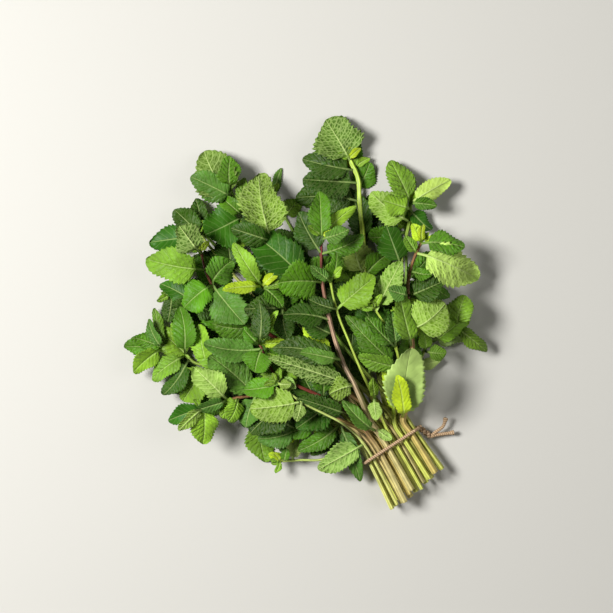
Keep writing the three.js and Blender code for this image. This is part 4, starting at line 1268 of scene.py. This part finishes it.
def bud_leaves(sprig):
    """The small leaves that open at a stem's end."""
    end = sprig.points[-1]
    onward = heading(sprig.on_stem(sprig.length - HEADING_REACH), end)
    buds = []
    for turn, length in zip(BUD_TURNS, BUD_LENGTHS):
        angle = onward + math.radians(turn + looks(-BUD_ASTRAY, BUD_ASTRAY))
        long = length * looks(*BUD_SPREAD)
        tone = "y" if looks(0, 1) > 1 - JUST_OPENED else "l"
        bud = Leaf(end, point_away(end, angle, long), long * BUD_WIDTH, False, tone)
        rise = looks(*BUD_RISE)
        bud.heights = [end[2] + rise * long * u for u in LEAF_STATIONS]
        buds.append(bud)
    return buds


# ---- Stems and tie ----

TUBE_STEP = 2.0  # between rings of a stem
NODE_SWELL = 0.22  # a stem is this much thicker where its leaves grow
NODE_LENGTH = 1.8  # mm either way
CUT_BEVEL = 0.15
STEM_TILT = (0.35, 1.2)  # radians that a stem is turned round its own line
STEM_SIDES = 16  # points round a stem and round the wire
WIRE_SIDES = 10
SQUARENESS = 5  # 2 is round, and the corners grow sharper with it
SIDE_GROOVE = 0.12
STEM_REACH = 1.24  # from the middle of the square to its corner, per its half side
STOUT = {11: 0.7, 12: 0.3}  # stems that stay thick towards their ends


def profile_object(name, points):
    """A closed outline across, for the tube tree."""
    mesh = bpy.data.meshes.new(name)
    edges = [(k, (k + 1) % len(points)) for k in range(len(points))]
    mesh.from_pydata([(x, y, 0) for x, y in points], edges, [])
    give(mesh, "side", [[0, x, y] for x, y in points])
    return linked(name, mesh)


def round_profile(sides):
    angles = [2 * math.pi * k / sides for k in range(sides)]
    return [(math.cos(angle), math.sin(angle)) for angle in angles]


def square_profile():
    """A mint stem across: square, with rounded corners and a shallow groove along each side."""
    points = []
    for x, y in round_profile(STEM_SIDES):
        reach = (abs(x) ** SQUARENESS + abs(y) ** SQUARENESS) ** (-1 / SQUARENESS)
        groove = 1 - SIDE_GROOVE * (x * x - y * y) ** 4
        points.append((reach * groove * x, reach * groove * y))
    return points


def fine_line(points, along, step):
    """Points in space along a smooth line through others, each with how far along it is."""
    fine = []
    for i in range(len(points) - 1):
        span = along[i + 1] - along[i]
        slopes = []
        for n in (i, i + 1):
            a, b = max(n - 1, 0), min(n + 1, len(points) - 1)
            apart = along[b] - along[a]
            slopes.append([(q - p) / apart * span for p, q in zip(points[a], points[b])])
        count = max(math.ceil(span / step), 1)
        for t in [k / count for k in range(count)]:
            ends = zip(points[i], slopes[0], points[i + 1], slopes[1])
            fine.append(([eased(*end, t) for end in ends], along[i] + t * span))
    fine.append((points[-1], along[-1]))
    return fine


def make_tube(name, fine, thickness, colors, tilt, closed, tree, profile, material):
    """A tube along a fine line; thickness is from its middle to its side, in mm."""
    line = bpy.data.meshes.new("line")
    edges = [(k, k + 1) for k in range(len(fine) - 1)] + ([(len(fine) - 1, 0)] if closed else [])
    line.from_pydata([in_frame(*point) for point, _ in fine], edges, [])
    give(line, "thickness", [t * MM for t in thickness])
    give(line, "tilt", [tilt] * len(fine))
    give(line, "along_mm", [[s, 0, 0] for _, s in fine])
    give(line, "tube_color", colors)
    return grown(name, line, tree, {"Profile": profile, "Material": material})


STEM_COLOR_PLACES = [0.12, 0.5, 0.95]  # of a stem's length, where it has each of its colours
STEM_VALUE = (0.9, 1.12)
CUT_TAPER = 0.88  # a stem is this thick at its cut rim and at its end, per what it is beside them
END_TAPER = 0.6
WIRE_STEP = 0.8
WIRE_RIDGE = 0.06
WIRE_END_SWELL = 0.5  # the paper is frayed thick where the wire was cut
WIRE_END_LENGTH = 1.1


def make_stem(number, sprig, tree, profile, material):
    fine = fine_line(sprig.points, sprig.along, TUBE_STEP)
    fine.insert(1, (mixed(fine[0][0], fine[1][0], CUT_BEVEL / TUBE_STEP), CUT_BEVEL))
    joints = [sprig.nearest(leaf.root) for leaf in sprig.leaves]
    tones = [linear(code) for code in STEM_TONES[STEM_OF_SPRIG.get(number, "green")]]
    worn = looks(*STEM_VALUE)
    thickness, colors = [], []
    for _, s in fine:
        share = s / sprig.length
        swell = max([math.exp(-(((s - joint) / NODE_LENGTH) ** 2)) for joint in joints], default=0)
        stout = 1 + STOUT.get(number, 0) * share
        half = stem_side(share, sprig.slim) / 2 * stout
        thickness.append(half * (1 + NODE_SWELL * swell) * min(1, CUT_TAPER + s))
        k = 0 if share < STEM_COLOR_PLACES[1] else 1
        low, high = STEM_COLOR_PLACES[k : k + 2]
        tone = mixed(tones[k], tones[k + 1], min(max(share - low, 0) / (high - low), 1))
        colors.append([part * worn for part in tone[:3]] + [1.0])
    thickness[-1] *= END_TAPER
    fine = [([x, y, max(z, half * STEM_REACH)], s) for ([x, y, z], s), half in zip(fine, thickness)]
    shape = (fine, thickness, colors, looks(*STEM_TILT), False)
    return make_tube(f"stem_{number:02d}", *shape, tree, profile, material)


def make_tie(tree, profile, material):
    """The wire loop, its twisted stretch and its two free ends, joined as one piece."""
    loop = tie_loop()
    knot = max(loop, key=lambda p: p[0])
    knot = [knot[0] + KNOT_OUT, knot[1], knot[2]]
    twist_end = [a + b for a, b in zip(knot, TWIST_RUN)]
    off = TIE_WIRE * TWIST_OFF
    ways = [(loop + [loop[0]], True)]
    for turn, free in ((0, FREE_ENDS[1]), (math.pi, FREE_ENDS[0])):
        strand = []
        for k in range(TWIST_POINTS + 1):
            t = k / TWIST_POINTS
            angle = turn + 2 * math.pi * TWISTS * t
            x, y, z = mixed(knot, twist_end, t)
            strand.append([x + off * math.cos(angle), y, z + off * math.sin(angle)])
        strand += [[a + b for a, b in zip(twist_end, point)] for point in free]
        ways.append((strand, False))
    made = []
    for way, closed in ways:
        along = lengths_along(way)
        fine = fine_line(way, along, WIRE_STEP)
        if closed:
            fine = fine[:-1]
        thickness = []
        for _, s in fine:
            ridge = 1 + WIRE_RIDGE * math.sin(s * 2 * math.pi / TWIST_MM)
            near_end = 0 if closed else math.exp(-(((s - along[-1] + 1) / WIRE_END_LENGTH) ** 2))
            thickness.append(TIE_WIRE / 2 * ridge * (1 + WIRE_END_SWELL * near_end))
        shape = (fine, thickness, [[1, 1, 1, 1]] * len(fine), 0.0, closed)
        made.append(make_tube("tie_part", *shape, tree, profile, material))
    whole = bmesh.new()
    for piece in made:
        whole.from_mesh(piece.data)
    mesh = bpy.data.meshes.new("tie_wire")
    whole.to_mesh(mesh)
    whole.free()
    mesh.materials.append(material)
    for piece in made:
        bpy.data.objects.remove(piece)
    return linked("tie_wire", mesh)


# ---- The bunch ----


def finish_piece(piece, slot, *nodes):
    for face in piece.data.polygons:
        face.use_smooth = len(face.vertices) <= 4
    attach(piece, "root")
    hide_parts(*nodes)


leaf_material, stem_material, tie_material = mint_leaf(), mint_stem(), paper_tie()
blade = make_blade()
stem_outline = profile_object("stem_outline", square_profile())
wire_outline = profile_object("wire_outline", round_profile(WIRE_SIDES))
leaves_tree, tubes_tree = leaf_tree(), tube_tree()

pile[:] = [0.0] * len(pile)
for number, (plan, sprig) in enumerate(zip(SPRIGS, sprigs), 1):
    node = f"sprig_{number:02d}"
    if plan["row"] > 0:
        sprig.lay_stem()
    foliage = make_leaves(number, sprig.leaves + bud_leaves(sprig), leaves_tree, blade, leaf_material)
    if plan["row"] == 0:
        sprig.lay_stem()
    finish_piece(foliage, "leaf", node)
    stem = make_stem(number, sprig, tubes_tree, stem_outline, stem_material)
    finish_piece(stem, "stem", node)
finish_piece(make_tie(tubes_tree, wire_outline, tie_material), "tie", "tie")
for helper in (blade, stem_outline, wire_outline):
    bpy.data.objects.remove(helper)

# ---- Floor, light and camera ----

bpy.ops.mesh.primitive_plane_add(size=FLOOR_SIZE)
floor = bpy.context.object
floor.name = "floor"
floor.data.materials.append(studio_board())

CROWN = Vector(in_frame(VIEW_X, VIEW_Y, VIEW_Z))

world = bpy.data.worlds.new("studio")
bpy.context.scene.world = world
world.use_nodes = True
sky = world.node_tree.nodes["Background"]
sky.inputs["Color"].default_value = linear("#eeece6")
sky.inputs["Strength"].default_value = SKY_STRENGTH
bpy.context.scene.view_settings.view_transform = "Standard"

for name, place, size, power in LIGHTS:
    lamp = bpy.data.lights.new(name, "AREA")
    lamp.energy = power
    lamp.shape = "DISK"
    lamp.size = size
    light = linked(name, lamp)
    light.location = CROWN + Vector(place)
    light.rotation_euler = (CROWN - light.location).to_track_quat("-Z", "Y").to_euler()

camera = bpy.data.cameras.new("camera")
camera.sensor_width = 36
camera.lens = camera.sensor_width * VIEW_DISTANCE / (IMAGE_SIDE * MM_PER_PIXEL * MM)
viewer = linked("camera", camera)
viewer.location = CROWN + Vector((0, 0, VIEW_DISTANCE))
viewer.rotation_euler = (0, 0, -math.radians(BUNCH_TURN))
bpy.context.scene.camera = viewer
